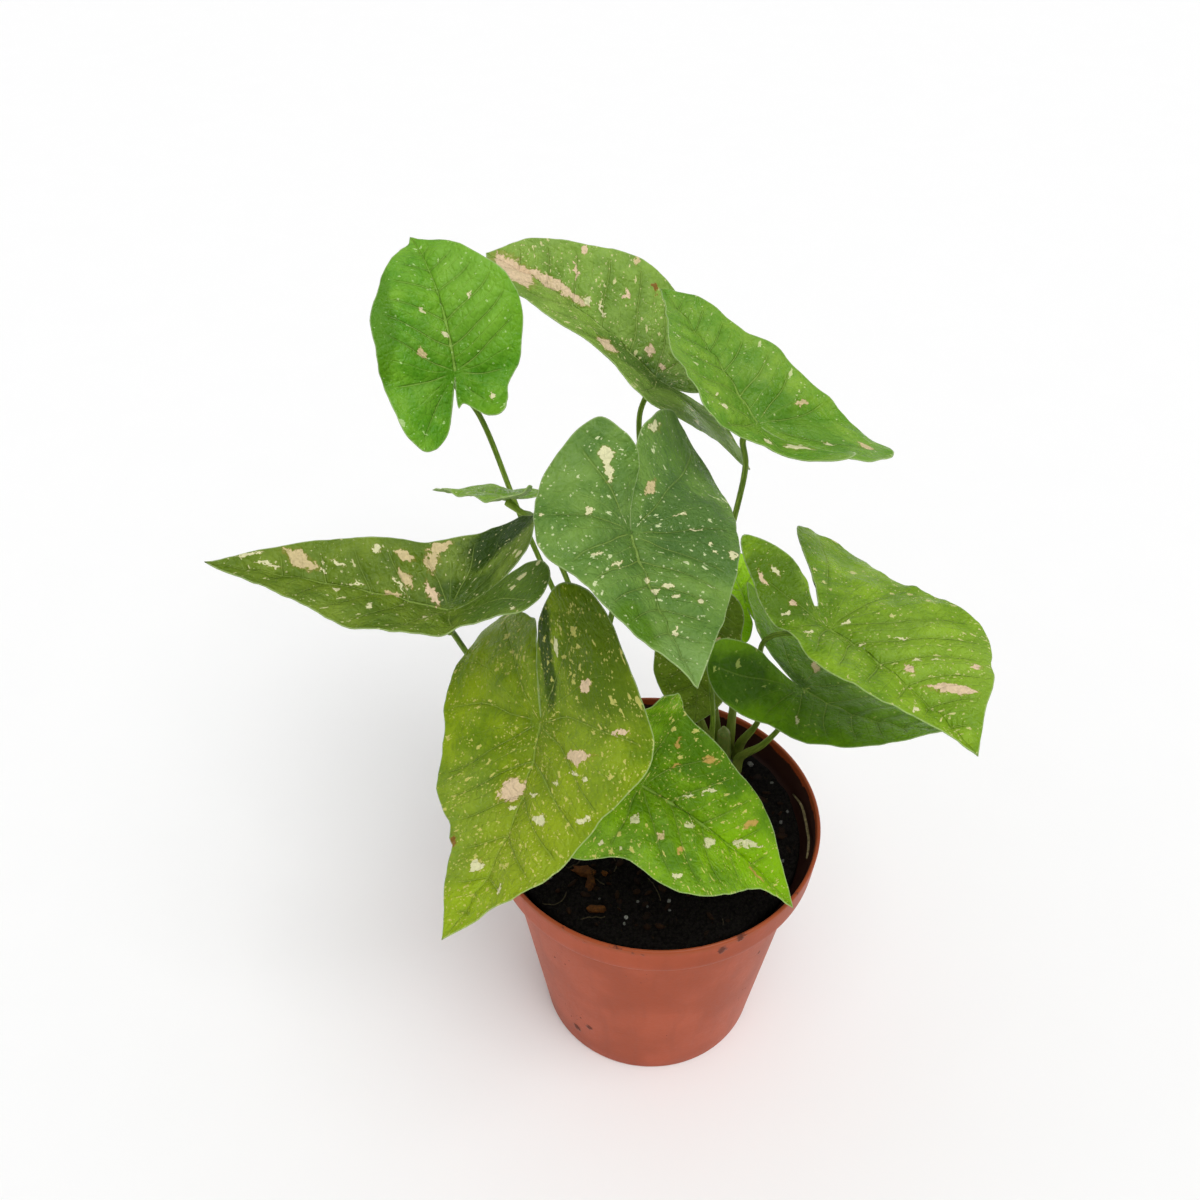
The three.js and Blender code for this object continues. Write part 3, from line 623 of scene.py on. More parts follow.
class Finish:
    """A material under construction, with short calls for its nodes."""

    def __init__(self, name):
        self.material = bpy.data.materials.new(name)
        self.material.use_nodes = True
        self.tree = self.material.node_tree
        self.tree.nodes.clear()

    def node(self, kind, settings=None, **inputs):
        made = self.tree.nodes.new(kind)
        for key, value in (settings or {}).items():
            setattr(made, key, value)
        for key, value in inputs.items():
            self.feed(made.inputs[key.replace("_", " ")], value)
        return made

    def feed(self, socket, value):
        if isinstance(value, bpy.types.NodeSocket):
            self.tree.links.new(value, socket)
        elif value is not None:
            socket.default_value = value

    def math(self, operation, *values):
        made = self.tree.nodes.new("ShaderNodeMath")
        made.operation = operation
        for socket, value in zip(made.inputs, values):
            self.feed(socket, value)
        return made.outputs[0]

    def vector(self, operation, *values):
        made = self.tree.nodes.new("ShaderNodeVectorMath")
        made.operation = operation
        for socket, value in zip(made.inputs, values):
            self.feed(socket, value)
        return made.outputs["Value" if operation in ("LENGTH", "DOT_PRODUCT") else "Vector"]

    def step(self, value, low, high, start=0.0, end=1.0):
        """start below low, end above high, and a soft change between."""
        made = self.node("ShaderNodeMapRange", {"interpolation_type": "SMOOTHSTEP"})
        ordered = low < high
        numbers = (value, low, high, start, end) if ordered else (value, high, low, end, start)
        for socket, number in zip(made.inputs, numbers):
            self.feed(socket, number)
        return made.outputs[0]

    def mix(self, share, first, second, blend="MIX"):
        made = self.tree.nodes.new("ShaderNodeMix")
        made.data_type = "RGBA"
        made.blend_type = blend
        for index, value in ((0, share), (6, first), (7, second)):
            if isinstance(value, tuple):
                value = (*value, 1)
            self.feed(made.inputs[index], value)
        return made.outputs[2]

    def attribute(self, name, output="Fac"):
        return self.node("ShaderNodeAttribute", {"attribute_name": name}).outputs[output]

    def place(self):
        """The point on the object, in millimetres."""
        point = self.node("ShaderNodeTexCoord").outputs["Object"]
        return self.vector("MULTIPLY", point, (1 / MM,) * 3)

    def noise(self, place, size, detail=3.0, rough=0.5):
        """Even noise, 0 to 1, whose spots are about this many millimetres wide."""
        made = self.node("ShaderNodeTexNoise", Vector=place, Scale=1 / size, Detail=detail, Roughness=rough)
        return made.outputs[0]

    def cells(self, place, size, feature="F1", metric="EUCLIDEAN"):
        kind = {"feature": feature, "distance": metric}
        return self.node("ShaderNodeTexVoronoi", kind, Vector=place, Scale=1 / size)

    def own_place(self, place, centre, half, turn):
        """A point seen from a spot's middle, in the spot's own half sizes."""
        made = self.node("ShaderNodeMapping", {"vector_type": "TEXTURE"}, Vector=place)
        made.inputs["Location"].default_value = centre
        made.inputs["Rotation"].default_value = (0, 0, math.radians(turn))
        made.inputs["Scale"].default_value = half
        return made.outputs[0]

    def spot(self, place, centre, half, turn):
        """Distance from a round spot's middle, where 1 is its edge."""
        return self.vector("LENGTH", self.own_place(place, centre, half, turn))

    def shard(self, place, centre, half, turn):
        """Distance from the middle of a spot with four blunt corners, where 1 is its edge."""
        seen = self.own_place(place, centre, half, turn)
        sharp = self.vector("DOT_PRODUCT", self.vector("ABSOLUTE", seen), (1, 1, 0))
        round_part = self.math("MULTIPLY", self.vector("LENGTH", seen), 0.45)
        return self.math("MULTIPLY_ADD", sharp, 0.55, round_part)

    def drifted(self, place, size, most):
        """The place moved about by noise this many millimetres wide, by up to half of most."""
        drift = self.node("ShaderNodeTexNoise", Vector=place, Scale=1 / size, Detail=3.0, Roughness=0.6)
        pull = self.vector("MULTIPLY_ADD", drift.outputs["Color"], (most, most, 0), (-most / 2, -most / 2, 0))
        return self.vector("ADD", place, pull)

    def surface(self, base, roughness, bump, bump_height, **extra):
        """Ends the tree in a Principled shader with relief from bump, bump_height metres high."""
        relief = self.node("ShaderNodeBump", Height=bump, Distance=bump_height)
        shader = self.node(
            "ShaderNodeBsdfPrincipled", Base_Color=base, Roughness=roughness, Normal=relief.outputs[0]
        )
        for key, value in extra.items():
            shader.inputs[key.replace("_", " ")].default_value = value
        output = self.node("ShaderNodeOutputMaterial", Surface=shader.outputs[0])
        output.is_active_output = True
        return self.material


# ---- Pot ----


def arc(centre, radius, start, end, steps):
    """Points [radius, height] of an arc, from one angle to another."""
    angles = np.radians(np.linspace(start, end, steps))
    return [(centre[0] + radius * math.cos(a), centre[1] + radius * math.sin(a)) for a in angles]


def straight(start, end, steps):
    return [tuple(np.array(start) + (np.array(end) - start) * k / steps) for k in range(1, steps)]


def pot_profile():
    """The wall as (radius, height) points, from the base's middle up and back down inside."""
    band_foot = POT_HEIGHT - BAND_HEIGHT
    foot_inner = FOOT_RADIUS - FOOT_WIDTH
    floor = GROOVE_RISE + POT_WALL
    neck = (NECK_RADIUS, band_foot - 1)
    band = (POT_RIM_RADIUS - BAND_DRAFT, band_foot)
    lip = POT_WALL / 2
    outside = [
        (0, 0), (10, 0), (CENTRE_RADIUS, 0), (CENTRE_RADIUS + GROOVE_SLOPE, GROOVE_RISE),
        (foot_inner - GROOVE_SLOPE, GROOVE_RISE), (foot_inner, 0), (FOOT_RADIUS - 1.2, 0),
    ]
    outside += arc((FOOT_RADIUS - 1.2, 1.2), 1.2, -70, -10, 5)
    outside += straight((FOOT_RADIUS, 1.4), neck, 16)
    outside += [neck, (NECK_RADIUS + 0.5, band_foot - 0.75), (NECK_RADIUS + 1.4, band_foot - 0.55)]
    outside += [(POT_RIM_RADIUS - 1.7, band_foot - 0.25), (POT_RIM_RADIUS - 1.2, band_foot)]
    outside += [(POT_RIM_RADIUS - 1, band_foot + 0.5)]
    outside += straight(band, (POT_RIM_RADIUS, POT_HEIGHT - lip), 6)
    outside += arc((POT_RIM_RADIUS - lip, POT_HEIGHT - lip), lip, 0, 180, 9)
    inside = straight(
        (POT_RIM_RADIUS - POT_WALL, POT_HEIGHT - lip), (POT_RIM_RADIUS - 2.8, band_foot + 1.4), 6
    )
    inside += [(POT_RIM_RADIUS - 2.9, band_foot + 1.2), (POT_RIM_RADIUS - 3.5, band_foot + 0.5)]
    inside += [(NECK_RADIUS - POT_WALL + 0.3, band_foot - 0.4), (NECK_RADIUS - POT_WALL, band_foot - 1)]
    inside += straight((NECK_RADIUS - POT_WALL, band_foot - 1), (FOOT_RADIUS - POT_WALL, floor), 12)
    inside += [
        (FOOT_RADIUS - POT_WALL, floor), (CENTRE_RADIUS, floor), (CENTRE_RADIUS - GROOVE_SLOPE, POT_WALL)
    ]
    inside += [(0, POT_WALL)]
    return outside, inside


def turned(profile, facets, values):
    """Points, faces and a value at each point of a profile turned about Z. It starts and ends on the axis."""
    turns = np.arange(facets) * 2 * math.pi / facets
    rings = profile[1:-1]
    points = [np.column_stack([r * np.cos(turns), r * np.sin(turns), np.full(facets, z)]) for r, z in rings]
    ends = np.array([[0, 0, profile[0][1]], [0, 0, profile[-1][1]]])
    points = np.concatenate([*points, ends])
    faces = []
    for k in range(len(rings) - 1):
        for i in range(facets):
            a, b = k * facets + i, k * facets + (i + 1) % facets
            faces.append((a, b, b + facets, a + facets))
    first, last = len(points) - 2, len(points) - 1
    top = (len(rings) - 1) * facets
    for i in range(facets):
        j = (i + 1) % facets
        faces.append((first, j, i))
        faces.append((last, top + i, top + j))
    kept = np.concatenate([np.repeat(values[1:-1], facets), [values[0], values[-1]]])
    return points, faces, kept


def pot_finish(settings):
    """Terracotta plastic: faint flow marks, scuffs, specks and smears of potting mix, and the inside wall darker
    in blotches deeper below the lip.
    """
    finish = Finish("terracotta plastic")
    place = finish.place()
    within = finish.attribute("inside")
    height = finish.node("ShaderNodeSeparateXYZ", Vector=place).outputs["Z"]
    plastic, rim, dirt = tuple(settings.plastic), tuple(settings.rim), tuple(settings.dirt)
    cloudy = finish.noise(place, 26, 4)
    flow = finish.noise(finish.vector("MULTIPLY", place, (1, 1, 0.06)), 5, 3)
    grain = finish.noise(place, 1.4, 4, 0.6)
    paler = tuple(min(1, c * 1.22 + 0.012) for c in plastic)
    darker = tuple(c * 0.82 for c in plastic)
    base = finish.mix(finish.step(cloudy, 0.35, 0.65), plastic, paler)
    base = finish.mix(finish.step(flow, 0.45, 0.75, 0, 0.4), base, darker)
    base = finish.mix(finish.step(grain, 0.3, 0.8, 0, 0.22), base, paler)
    lip = finish.step(height, POT_HEIGHT - 3.2, POT_HEIGHT - 0.8)
    base = finish.mix(finish.math("MULTIPLY", lip, 0.8), base, rim)
    rub = finish.noise(finish.vector("MULTIPLY", place, (1, 1, 3)), 9, 6, 0.7)
    base = finish.mix(finish.step(rub, 0.62, 0.8, 0, 0.35), base, paler)

    smear = finish.noise(place, 7, 5, 0.7)
    # The inside wall turns to the dirt colour in blotches, more of it deeper below the lip.
    low_inside = finish.step(height, POT_HEIGHT - 0.5, POT_HEIGHT - 6.5)
    cover = finish.math(
        "MULTIPLY", within, finish.math("ADD", finish.math("MULTIPLY", low_inside, 0.62), smear)
    )
    inner_darkening = finish.step(cover, 0.55, 0.72)
    specks = finish.cells(place, 2.6)
    speck_size = finish.step(finish.noise(place, 19, 2), 0.56, 0.8, 0, 0.26)
    small = finish.step(finish.math("SUBTRACT", specks.outputs["Distance"], speck_size), 0, -0.06)
    rim_grime = finish.math("MULTIPLY", finish.step(smear, 0.6, 0.72), finish.step(height, 99, 102.5))
    marks = finish.math("MAXIMUM", small, rim_grime)
    jag = finish.math("MULTIPLY", finish.noise(place, 1.3, 3, 0.6), 1.5)
    for centre, radius in POT_SMEARS:
        spot = finish.spot(place, centre, (radius, radius, radius * 1.2), 0)
        edge = finish.math("ADD", spot, jag)
        marks = finish.math("MAXIMUM", marks, finish.step(edge, 1.75, 1.2, 0, 0.75))
    dark_inside_and_dirt = finish.math("MAXIMUM", inner_darkening, marks)
    base = finish.mix(dark_inside_and_dirt, base, dirt)
    rough = finish.math("ADD", finish.math("MULTIPLY", grain, 0.16), settings.gloss - 0.06)
    rough = finish.math("MAXIMUM", rough, finish.math("MULTIPLY", dark_inside_and_dirt, 0.85))
    relief = finish.math("ADD", finish.math("MULTIPLY", grain, 0.25), finish.math("MULTIPLY", dark_inside_and_dirt, 0.8))
    return finish.surface(base, rough, relief, 0.00025, Specular_IOR_Level=0.22)


# Smears of potting mix on the pot: middle and radius.
POT_SMEARS = (
    ((-29, -33, 14), 2.6),
    ((-24.2, -38, 22), 1.9),
    ((20.4, -56.1, 99), 2.2),
    ((26.5, -53.8, 102), 1.8),
    ((37.8, -36, 67), 1.6),
    ((41, -40, 97), 1.5),
)


class ARROWHEAD_OT_pot(bpy.types.Operator):
    """Turns the round nursery pot and cuts its drain holes"""

    bl_idname = "arrowhead.make_pot"
    bl_label = "Make the pot"

    def execute(self, context):
        settings = context.scene.arrowhead_pot
        outside, inside = pot_profile()
        values = [0.0] * len(outside) + [1.0] * len(inside)
        points, faces, within = turned(outside + inside, settings.facets, values)
        pot = mesh_piece("nursery_pot", points, faces, pot_finish(settings), {"inside": within})
        cutter = self.drill(pot.data.materials[0])
        cut = pot.modifiers.new("drain holes", "BOOLEAN")
        cut.operation = "DIFFERENCE"
        cut.object = cutter
        cut.solver = "EXACT"
        graph = context.evaluated_depsgraph_get()
        whole = bpy.data.meshes.new_from_object(pot.evaluated_get(graph))
        pot.modifiers.clear()
        pot.data = whole
        bpy.data.objects.remove(cutter)
        whole.polygons.foreach_set("use_smooth", [True] * len(whole.polygons))
        whole.set_sharp_from_angle(angle=math.radians(50))
        wear(pot, "pot", "pot")
        return {"FINISHED"}

    def drill(self, material):
        """Round plugs where the drain holes go."""
        circle = (CENTRE_RADIUS + FOOT_RADIUS - FOOT_WIDTH) / 2
        plugs = []
        for k in range(DRAIN_HOLES):
            turn = 2 * math.pi * k / DRAIN_HOLES
            x, y = circle * math.cos(turn), circle * math.sin(turn)
            points, faces = tube([(x, y, -6), (x, y, 6)], [DRAIN_DIAMETER / 2] * 2, 24)
            plugs.append((points, faces, 0))
        points, faces, _ = joined(plugs)
        return mesh_piece("drain_plugs", points, faces, material)


# ---- Potting mix ----


def bumpy(x, y, size, seed, octaves=3):
    """Smooth noise of the plane, about -1 to 1."""
    return noise.fractal(Vector((x / size, y / size, seed)), 0.7, 2.1, octaves)


def soil_height(x, y, settings):
    """Top of the potting mix: low clods with finer crumbs on them."""
    coarse = math.sin(x / 6.1 + 0.8) * math.cos(y / 5.3 - 0.4)
    middling = math.sin(x / 2.7 - y / 3.1)
    clods = settings.clod_height / MM * (0.65 * coarse + 0.35 * middling)
    crumbs = settings.crumb_height / MM * bumpy(x, y, 2.6, 3.0, 4)
    return SOIL_TOP + clods * 0.8 + crumbs


def soil_finish(settings):
    """Nearly black potting mix, its damp peat colour darkened further as painted shade, with dull brown crumbs."""
    finish = Finish("potting mix")
    place = finish.place()
    crumb = finish.cells(place, 1.1)
    fibre = finish.noise(finish.vector("MULTIPLY", place, (1, 0.25, 1)), 0.9, 4, 0.7)
    peat = tuple(settings.peat)
    brown = tuple(min(1, c * 3.2 + 0.004) for c in peat)
    base = finish.mix(finish.step(crumb.outputs["Distance"], 0.2, 0.9), brown, peat)
    base = finish.mix(finish.step(fibre, 0.62, 0.75, 0, 0.6), base, tint(0x3A2210))
    relief = finish.math("ADD", crumb.outputs["Distance"], finish.noise(place, 0.5, 4, 0.7))
    rough = finish.step(fibre, 0.3, 0.7, 0.8, 0.95)
    return finish.surface(base, rough, relief, 0.0006, Specular_IOR_Level=0.08)


def crumb_finish(name, base, size, roughness):
    """Bark, perlite or fibre: one colour broken up by each crumb's own shade and by grain."""
    finish = Finish(name)
    place = finish.place()
    own = finish.attribute("shade")
    grain = finish.noise(place, size, 5, 0.65)
    dark = tuple(c * 0.05 for c in base)
    mixed = finish.mix(own, dark, base)
    mixed = finish.mix(finish.step(grain, 0.35, 0.7, 0.65, 0), mixed, dark)
    rough = finish.step(grain, 0.2, 0.8, roughness - 0.1, roughness)
    return finish.surface(mixed, rough, grain, 0.0003, Specular_IOR_Level=0.12)


def lump(random_source, centre, half, steps=5, jagged=0.35):
    """A rough closed lump round a centre, with these half sizes, turned at random."""
    points = []
    faces = []
    around = 8
    for k in range(1, steps):
        polar = math.pi * k / steps
        for i in range(around):
            turn = 2 * math.pi * i / around
            bulge = 1 + random_source.uniform(-jagged, jagged)
            direction = (math.sin(polar) * math.cos(turn), math.sin(polar) * math.sin(turn), math.cos(polar))
            points.append([bulge * h * d for h, d in zip(half, direction)])
    points += [[0, 0, half[2]], [0, 0, -half[2]]]
    for k in range(steps - 2):
        for i in range(around):
            a, b = k * around + i, k * around + (i + 1) % around
            faces.append((a, a + around, b + around, b))
    top, foot = len(points) - 2, len(points) - 1
    for i in range(around):
        j = (i + 1) % around
        faces.append((top, i, j))
        faces.append((foot, (steps - 2) * around + j, (steps - 2) * around + i))
    spin = random_source.uniform(0, 2 * math.pi)
    tilt = random_source.uniform(-0.35, 0.35)
    points = np.array(points)
    turned_z = points @ np.array(
        [[math.cos(spin), math.sin(spin), 0], [-math.sin(spin), math.cos(spin), 0], [0, 0, 1]]
    )
    tilted = turned_z @ np.array(
        [[1, 0, 0], [0, math.cos(tilt), math.sin(tilt)], [0, -math.sin(tilt), math.cos(tilt)]]
    )
    return tilted + np.array(centre), faces


# Bark pieces that stand out at the front: middle, half sizes, shade.
LARGE_BARK = (
    ((-25.5, -20.5), (2.6, 5.2, 1.3), 0.85),
    ((-23.5, -25.5), (1.8, 3.4, 1.1), 0.6),
    ((-21, -36.5), (3.6, 1.7, 1.1), 0.95),
    ((-18.5, -21.5), (1.1, 1.3, 0.8), 0.9),
)

# Grains that stand out: middle, size and shade.
LARGE_GRAINS = (
    ((-11, -40), 0.8, 1.0), ((4, -33), 0.8, 0.7), ((4, -37), 0.6, 0.6), ((31, 33), 1.5, 0.9),
    ((38.5, 31), 1.3, 0.7), ((46, 22), 0.9, 0.5), ((50, 7), 0.9, 0.4), ((47, 2), 0.8, 0.4),
)


class ARROWHEAD_OT_soil(bpy.types.Operator):
    """Fills the pot with potting mix, bark chips, grains and fibres"""

    bl_idname = "arrowhead.make_soil"
    bl_label = "Make the potting mix"

    def execute(self, context):
        settings = context.scene.arrowhead_soil
        self.bed(settings)
        self.chips(settings)
        self.grains(settings)
        self.fibres(settings)
        return {"FINISHED"}

    def bed(self, settings):
        facets, rings = 200, 74
        lowest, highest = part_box("soil")
        foot = lowest.z / MM
        edge = highest.x / MM - 0.7
        neck = POT_HEIGHT - BAND_HEIGHT - 1
        foot_radius = FOOT_RADIUS - POT_WALL
        turns = np.arange(facets) * 2 * math.pi / facets
        levels = [(foot_radius, foot), (edge, neck), (edge + 0.5, SOIL_TOP - 1.2)]
        points = [
            np.column_stack([r * np.cos(turns), r * np.sin(turns), np.full(facets, z)]) for r, z in levels
        ]
        for k in range(rings, 0, -1):
            radius = edge * k / rings
            ring = []
            for turn in turns:
                x, y = radius * math.cos(turn), radius * math.sin(turn)
                banked = 1.4 * float(smoothstep(radius, edge - 7, edge)) * (0.5 + bumpy(x, y, 9, 7.0, 2))
                ring.append((x, y, soil_height(x, y, settings) + banked))
            points.append(np.array(ring))
        count = len(points)
        points = np.concatenate([*points, [[0, 0, foot], [0, 0, soil_height(0, 0, settings)]]])
        faces = []
        for k in range(count - 1):
            for i in range(facets):
                a, b = k * facets + i, k * facets + (i + 1) % facets
                faces.append((a, b, b + facets, a + facets))
        low, high, crest = len(points) - 2, len(points) - 1, (count - 1) * facets
        for i in range(facets):
            j = (i + 1) % facets
            faces.append((low, j, i))
            faces.append((high, crest + i, crest + j))
        piece = mesh_piece("potting_mix", points, faces, soil_finish(settings))
        wear(piece, "soil", "soil")

    def scatter(self, source, reach):
        """A random place on the potting mix."""
        radius = reach * math.sqrt(source.random())
        turn = source.uniform(0, 2 * math.pi)
        return radius * math.cos(turn), radius * math.sin(turn)

    def chips(self, settings):
        source = random.Random(11)
        parts = []
        for _ in range(settings.chips):
            x, y = self.scatter(source, 50)
            long = source.uniform(0.8, 2.6)
            half = (long, long * source.uniform(0.3, 0.7), source.uniform(0.35, 0.8))
            z = soil_height(x, y, settings) + half[2] * 0.3
            points, faces = lump(source, (x, y, z), half, 5, 0.3)
            parts.append((points, faces, source.uniform(0.0, 0.12)))
        for (x, y), half, shade in LARGE_BARK:
            z = soil_height(x, y, settings) + half[2] * 0.8
            points, faces = lump(source, (x, y, z), half, 7, 0.34)
            parts.append((points, faces, shade))
        points, faces, shades = joined(parts)
        bark = crumb_finish("bark", tuple(settings.bark), 1.2, 0.8)
        wear(mesh_piece("bark_chips", points, faces, bark, {"shade": shades}), "soil")

    def grains(self, settings):
        source = random.Random(23)
        parts = []
        places = [(self.scatter(source, 50), source.uniform(0.35, 0.8), source.uniform(0.2, 0.7))
                  for _ in range(settings.grains)]
        for (x, y), size, shade in [*places, *LARGE_GRAINS]:
            half = (size, size * source.uniform(0.7, 1), size * 0.8)
            z = soil_height(x, y, settings) + size * 0.3
            points, faces = lump(source, (x, y, z), half, 6, 0.16)
            parts.append((points, faces, shade))
        points, faces, shades = joined(parts)
        perlite = crumb_finish("perlite", tuple(settings.perlite), 0.8, 0.9)
        wear(mesh_piece("perlite_grains", points, faces, perlite, {"shade": shades}), "soil")

    def fibres(self, settings):
        source = random.Random(37)
        parts = []
        for _ in range(settings.fibres):
            x, y = self.scatter(source, 47)
            heading = source.uniform(0, 2 * math.pi)
            bend = source.uniform(-0.25, 0.25)
            line = []
            for _step in range(source.randint(5, 11)):
                line.append((x, y, soil_height(x, y, settings) + source.uniform(0.1, 0.5)))
                x += 1.1 * math.cos(heading)
                y += 1.1 * math.sin(heading)
                heading += bend
            curve = RoundCurve(line, 40)
            centres = [curve.along(k / 14) for k in range(15)]
            thick = source.uniform(0.12, 0.28)
            points, faces = tube(centres, [thick] * 14 + [thick * 0.4], 6)
            parts.append((points, faces, source.uniform(0.02, 0.2)))
        parts.append(self.wall_root())
        points, faces, shades = joined(parts)
        root = crumb_finish("root fibre", tint(0x9A8A66), 1.5, 0.7)
        wear(mesh_piece("root_fibres", points, faces, root, {"shade": shades}), "soil")

    def wall_root(self):
        """A pale root that lies on the inside of the wall, at the right."""
        line = []
        for turn, height in ((17, 93.8), (9, 96), (1, 95.8), (-5, 96.4), (-9, 97.6), (-15, 98.6), (-20, 100.4)):
            radius = POT_RIM_RADIUS - 2.8 - (POT_HEIGHT - height) * 0.1 - 0.4
            angle = math.radians(turn)
            line.append((radius * math.cos(angle), radius * math.sin(angle), height))
        curve = RoundCurve(line, 80)
        centres = [curve.along(k / 40) for k in range(41)]
        radii = [0.55 * math.sin(math.pi * (0.08 + 0.84 * k / 40)) ** 0.5 for k in range(41)]
        points, faces = tube(centres, radii, 8)
        return points, faces, 1.0


# ---- Stems and leaf stalks ----


def stalk_finish(settings):
    """Smooth living stalk: streaks along it, paler at both ends."""
    finish = Finish("leaf stalk")
    along = finish.attribute("along", "Vector")
    parts = finish.node("ShaderNodeSeparateXYZ", Vector=along)
    climbed, around, to_top = parts.outputs[0], parts.outputs[1], parts.outputs[2]
    lengthwise = finish.node("ShaderNodeCombineXYZ", X=finish.math("MULTIPLY", climbed, 0.08), Y=around)
    streak = finish.noise(lengthwise.outputs[0], 0.55, 4, 0.6)
    mottle = finish.noise(finish.place(), 3.2, 4, 0.6)
    green, fresh, sheath = tuple(settings.green), tuple(settings.fresh), tuple(settings.sheath)
    base = finish.mix(finish.step(streak, 0.42, 0.7), green, fresh)
    foot = finish.step(climbed, 46, 6)
    base = finish.mix(finish.math("MULTIPLY", foot, finish.step(streak, 0.3, 0.6, 0.35, 1)), base, sheath)
    base = finish.mix(finish.step(mottle, 0.5, 0.75, 0, 0.35), base, tuple(c * 0.55 for c in green))
    base = finish.mix(finish.step(to_top, 9, 1.5, 0, 0.75), base, fresh)
    rough = finish.step(mottle, 0.2, 0.8, 0.34, 0.5)
    return finish.surface(base, rough, streak, 0.00018, Specular_IOR_Level=LEAF_SHINE)


def stem_finish(settings):
    """Stem: greener than the soil's browns, with papery rings where old leaves stood."""
    finish = Finish("stem")
    place = finish.place()
    rings = finish.noise(finish.vector("MULTIPLY", place, (0.25, 0.25, 1)), 2.4, 4, 0.6)
    grain = finish.noise(finish.vector("MULTIPLY", place, (1, 1, 0.15)), 0.8, 4, 0.6)
    base = finish.mix(finish.step(grain, 0.35, 0.7), tuple(settings.green), tuple(settings.sheath))
    base = finish.mix(finish.step(rings, 0.55, 0.7, 0, 0.7), base, tint(0x8A7440))
    rough = finish.step(grain, 0.2, 0.8, 0.45, 0.65)
    return finish.surface(base, rough, rings, 0.0003)


def soil_point(x, y, rise):
    return np.array([x, y, SOIL_TOP + rise], float)


def leaf_axes(leaf):
    """The blade's own directions: toward the tip, toward the left side, out of the upper face."""
    h, d, r = (math.radians(a) for a in (leaf.heading, leaf.dip, leaf.roll))
    ahead = np.array([math.cos(h) * math.cos(d), math.sin(h) * math.cos(d), -math.sin(d)])
    level = np.array([-math.sin(h), math.cos(h), 0])
    up = np.cross(ahead, level)
    left = math.cos(r) * level + math.sin(r) * up
    out = math.cos(r) * up - math.sin(r) * level
    return ahead, left, out


def stalk_curve(leaf):
    """The stalk's middle line, from its foot in the soil to just under the blade."""
    ahead, _, out = leaf_axes(leaf)
    slant = math.radians(leaf.slant)
    arrive = math.cos(slant) * out + math.sin(slant) * ahead
    depth = BLADE_THICKNESS / 2 + SEAT_GAP + STALK_RADIUS * math.sin(slant)
    end = np.array(leaf.joint, float) - depth * out
    turn = math.radians(leaf.around)
    outward = np.array([math.cos(turn), math.sin(turn), 0])
    reach = STEM_RADIUS + SEAT_GAP + STALK_BASE_RADIUS + 0.3

    def at(rise):
        x, y = STEMS[leaf.stem].at
        return soil_point(x, y, rise) + outward * (reach + STALK_SPLAY * (rise + STALK_ROOT))

    route = [np.array(point, float) for point in leaf.route]
    return RoundCurve([at(-STALK_ROOT), at(0), at(8), *route, end - 6 * arrive, end - 2.5 * arrive, end])


class ARROWHEAD_OT_stems(bpy.types.Operator):
    """Grows the three short stems that the stalks stand round"""

    bl_idname = "arrowhead.make_stems"
    bl_label = "Make the stems"

    def execute(self, context):
        settings = context.scene.arrowhead_stalks
        finish = stem_finish(settings)
        steps = 44
        for number, stem in enumerate(STEMS):
            source = random.Random(50 + number)
            centres, radii = [], []
            for k in range(steps + 1):
                rise = -STEM_ROOT + (STEM_RISE + STEM_ROOT) * k / steps
                lean = rise / STEM_RISE
                centres.append(
                    soil_point(stem.at[0] + stem.lean[0] * lean, stem.at[1] + stem.lean[1] * lean, rise)
                )
                slim = STEM_RADIUS + (STEM_TIP_RADIUS - STEM_RADIUS) * max(lean, 0)
                knot = 0.3 * math.exp(-(((rise - 6.8) / 0.8) ** 2)) + 0.2 * math.exp(-(((rise - 13.5) / 0.7) ** 2))
                tip = 1 - 0.65 * float(smoothstep(rise, STEM_RISE - 3.5, STEM_RISE)) ** 2
                radii.append((slim + knot) * tip)
            ribs = [source.uniform(-0.05, 0.05) for _ in range(28)]

            def flute(k, turns, ribs=ribs):
                return 1 + np.array(ribs) * 0.8

            points, faces = tube(centres, radii, 28, flute)
            piece = mesh_piece(f"short_{stem.node}", points, faces, finish)
            wear(piece, "stem", stem.node)
        return {"FINISHED"}


class ARROWHEAD_OT_stalks(bpy.types.Operator):
    """Grows a stalk for each leaf, from its stem to its blade"""

    bl_idname = "arrowhead.make_stalks"
    bl_label = "Make the leaf stalks"

    def execute(self, context):
        settings = context.scene.arrowhead_stalks
        finish = stalk_finish(settings)
        for leaf in LEAVES:
            curve = stalk_curve(leaf)
            sides, steps = settings.sides, settings.steps
            centres, radii, along = [], [], []
            girths = np.arange(sides) / sides * 2 * math.pi
            for k in range(steps + 1):
                share = 1 - (1 - k / steps) ** 1.2
                climbed = share * curve.length - STALK_ROOT
                to_top = (1 - share) * curve.length
                slim = float(smoothstep(climbed, 0, STALK_SHEATH))
                radius = STALK_BASE_RADIUS * 1.12 + (STALK_RADIUS - STALK_BASE_RADIUS * 1.12) * slim
                radius *= 1 + settings.swelling * math.exp(-((to_top / 4.5) ** 2))
                centres.append(curve.along(share))
                radii.append(radius)
                along.extend((climbed, girth, to_top) for girth in girths)
            along += [(-STALK_ROOT, 0, curve.length), (curve.length, 0, 0)]

            def flute(k, turns, radii=radii):
                """A shallow channel along one side, and two low wings in the sheath."""
                sheath = max(0.0, (radii[k] - STALK_RADIUS) / STALK_RADIUS)
                channel = 0.13 * np.exp(-(((turns - math.pi / 2) / 0.45) ** 2))
                wings = 0.34 * min(sheath, 0.8) * np.cos(turns) ** 4
                return 1 - channel + wings

            points, faces = tube(centres, radii, sides, flute)
            piece = mesh_piece(f"stalk_{leaf.name}", points, faces, finish, {"along": np.array(along)})
            wear(piece, "petiole", f"petiole_{leaf.name}")
        return {"FINISHED"}


# ---- Leaf blades ----


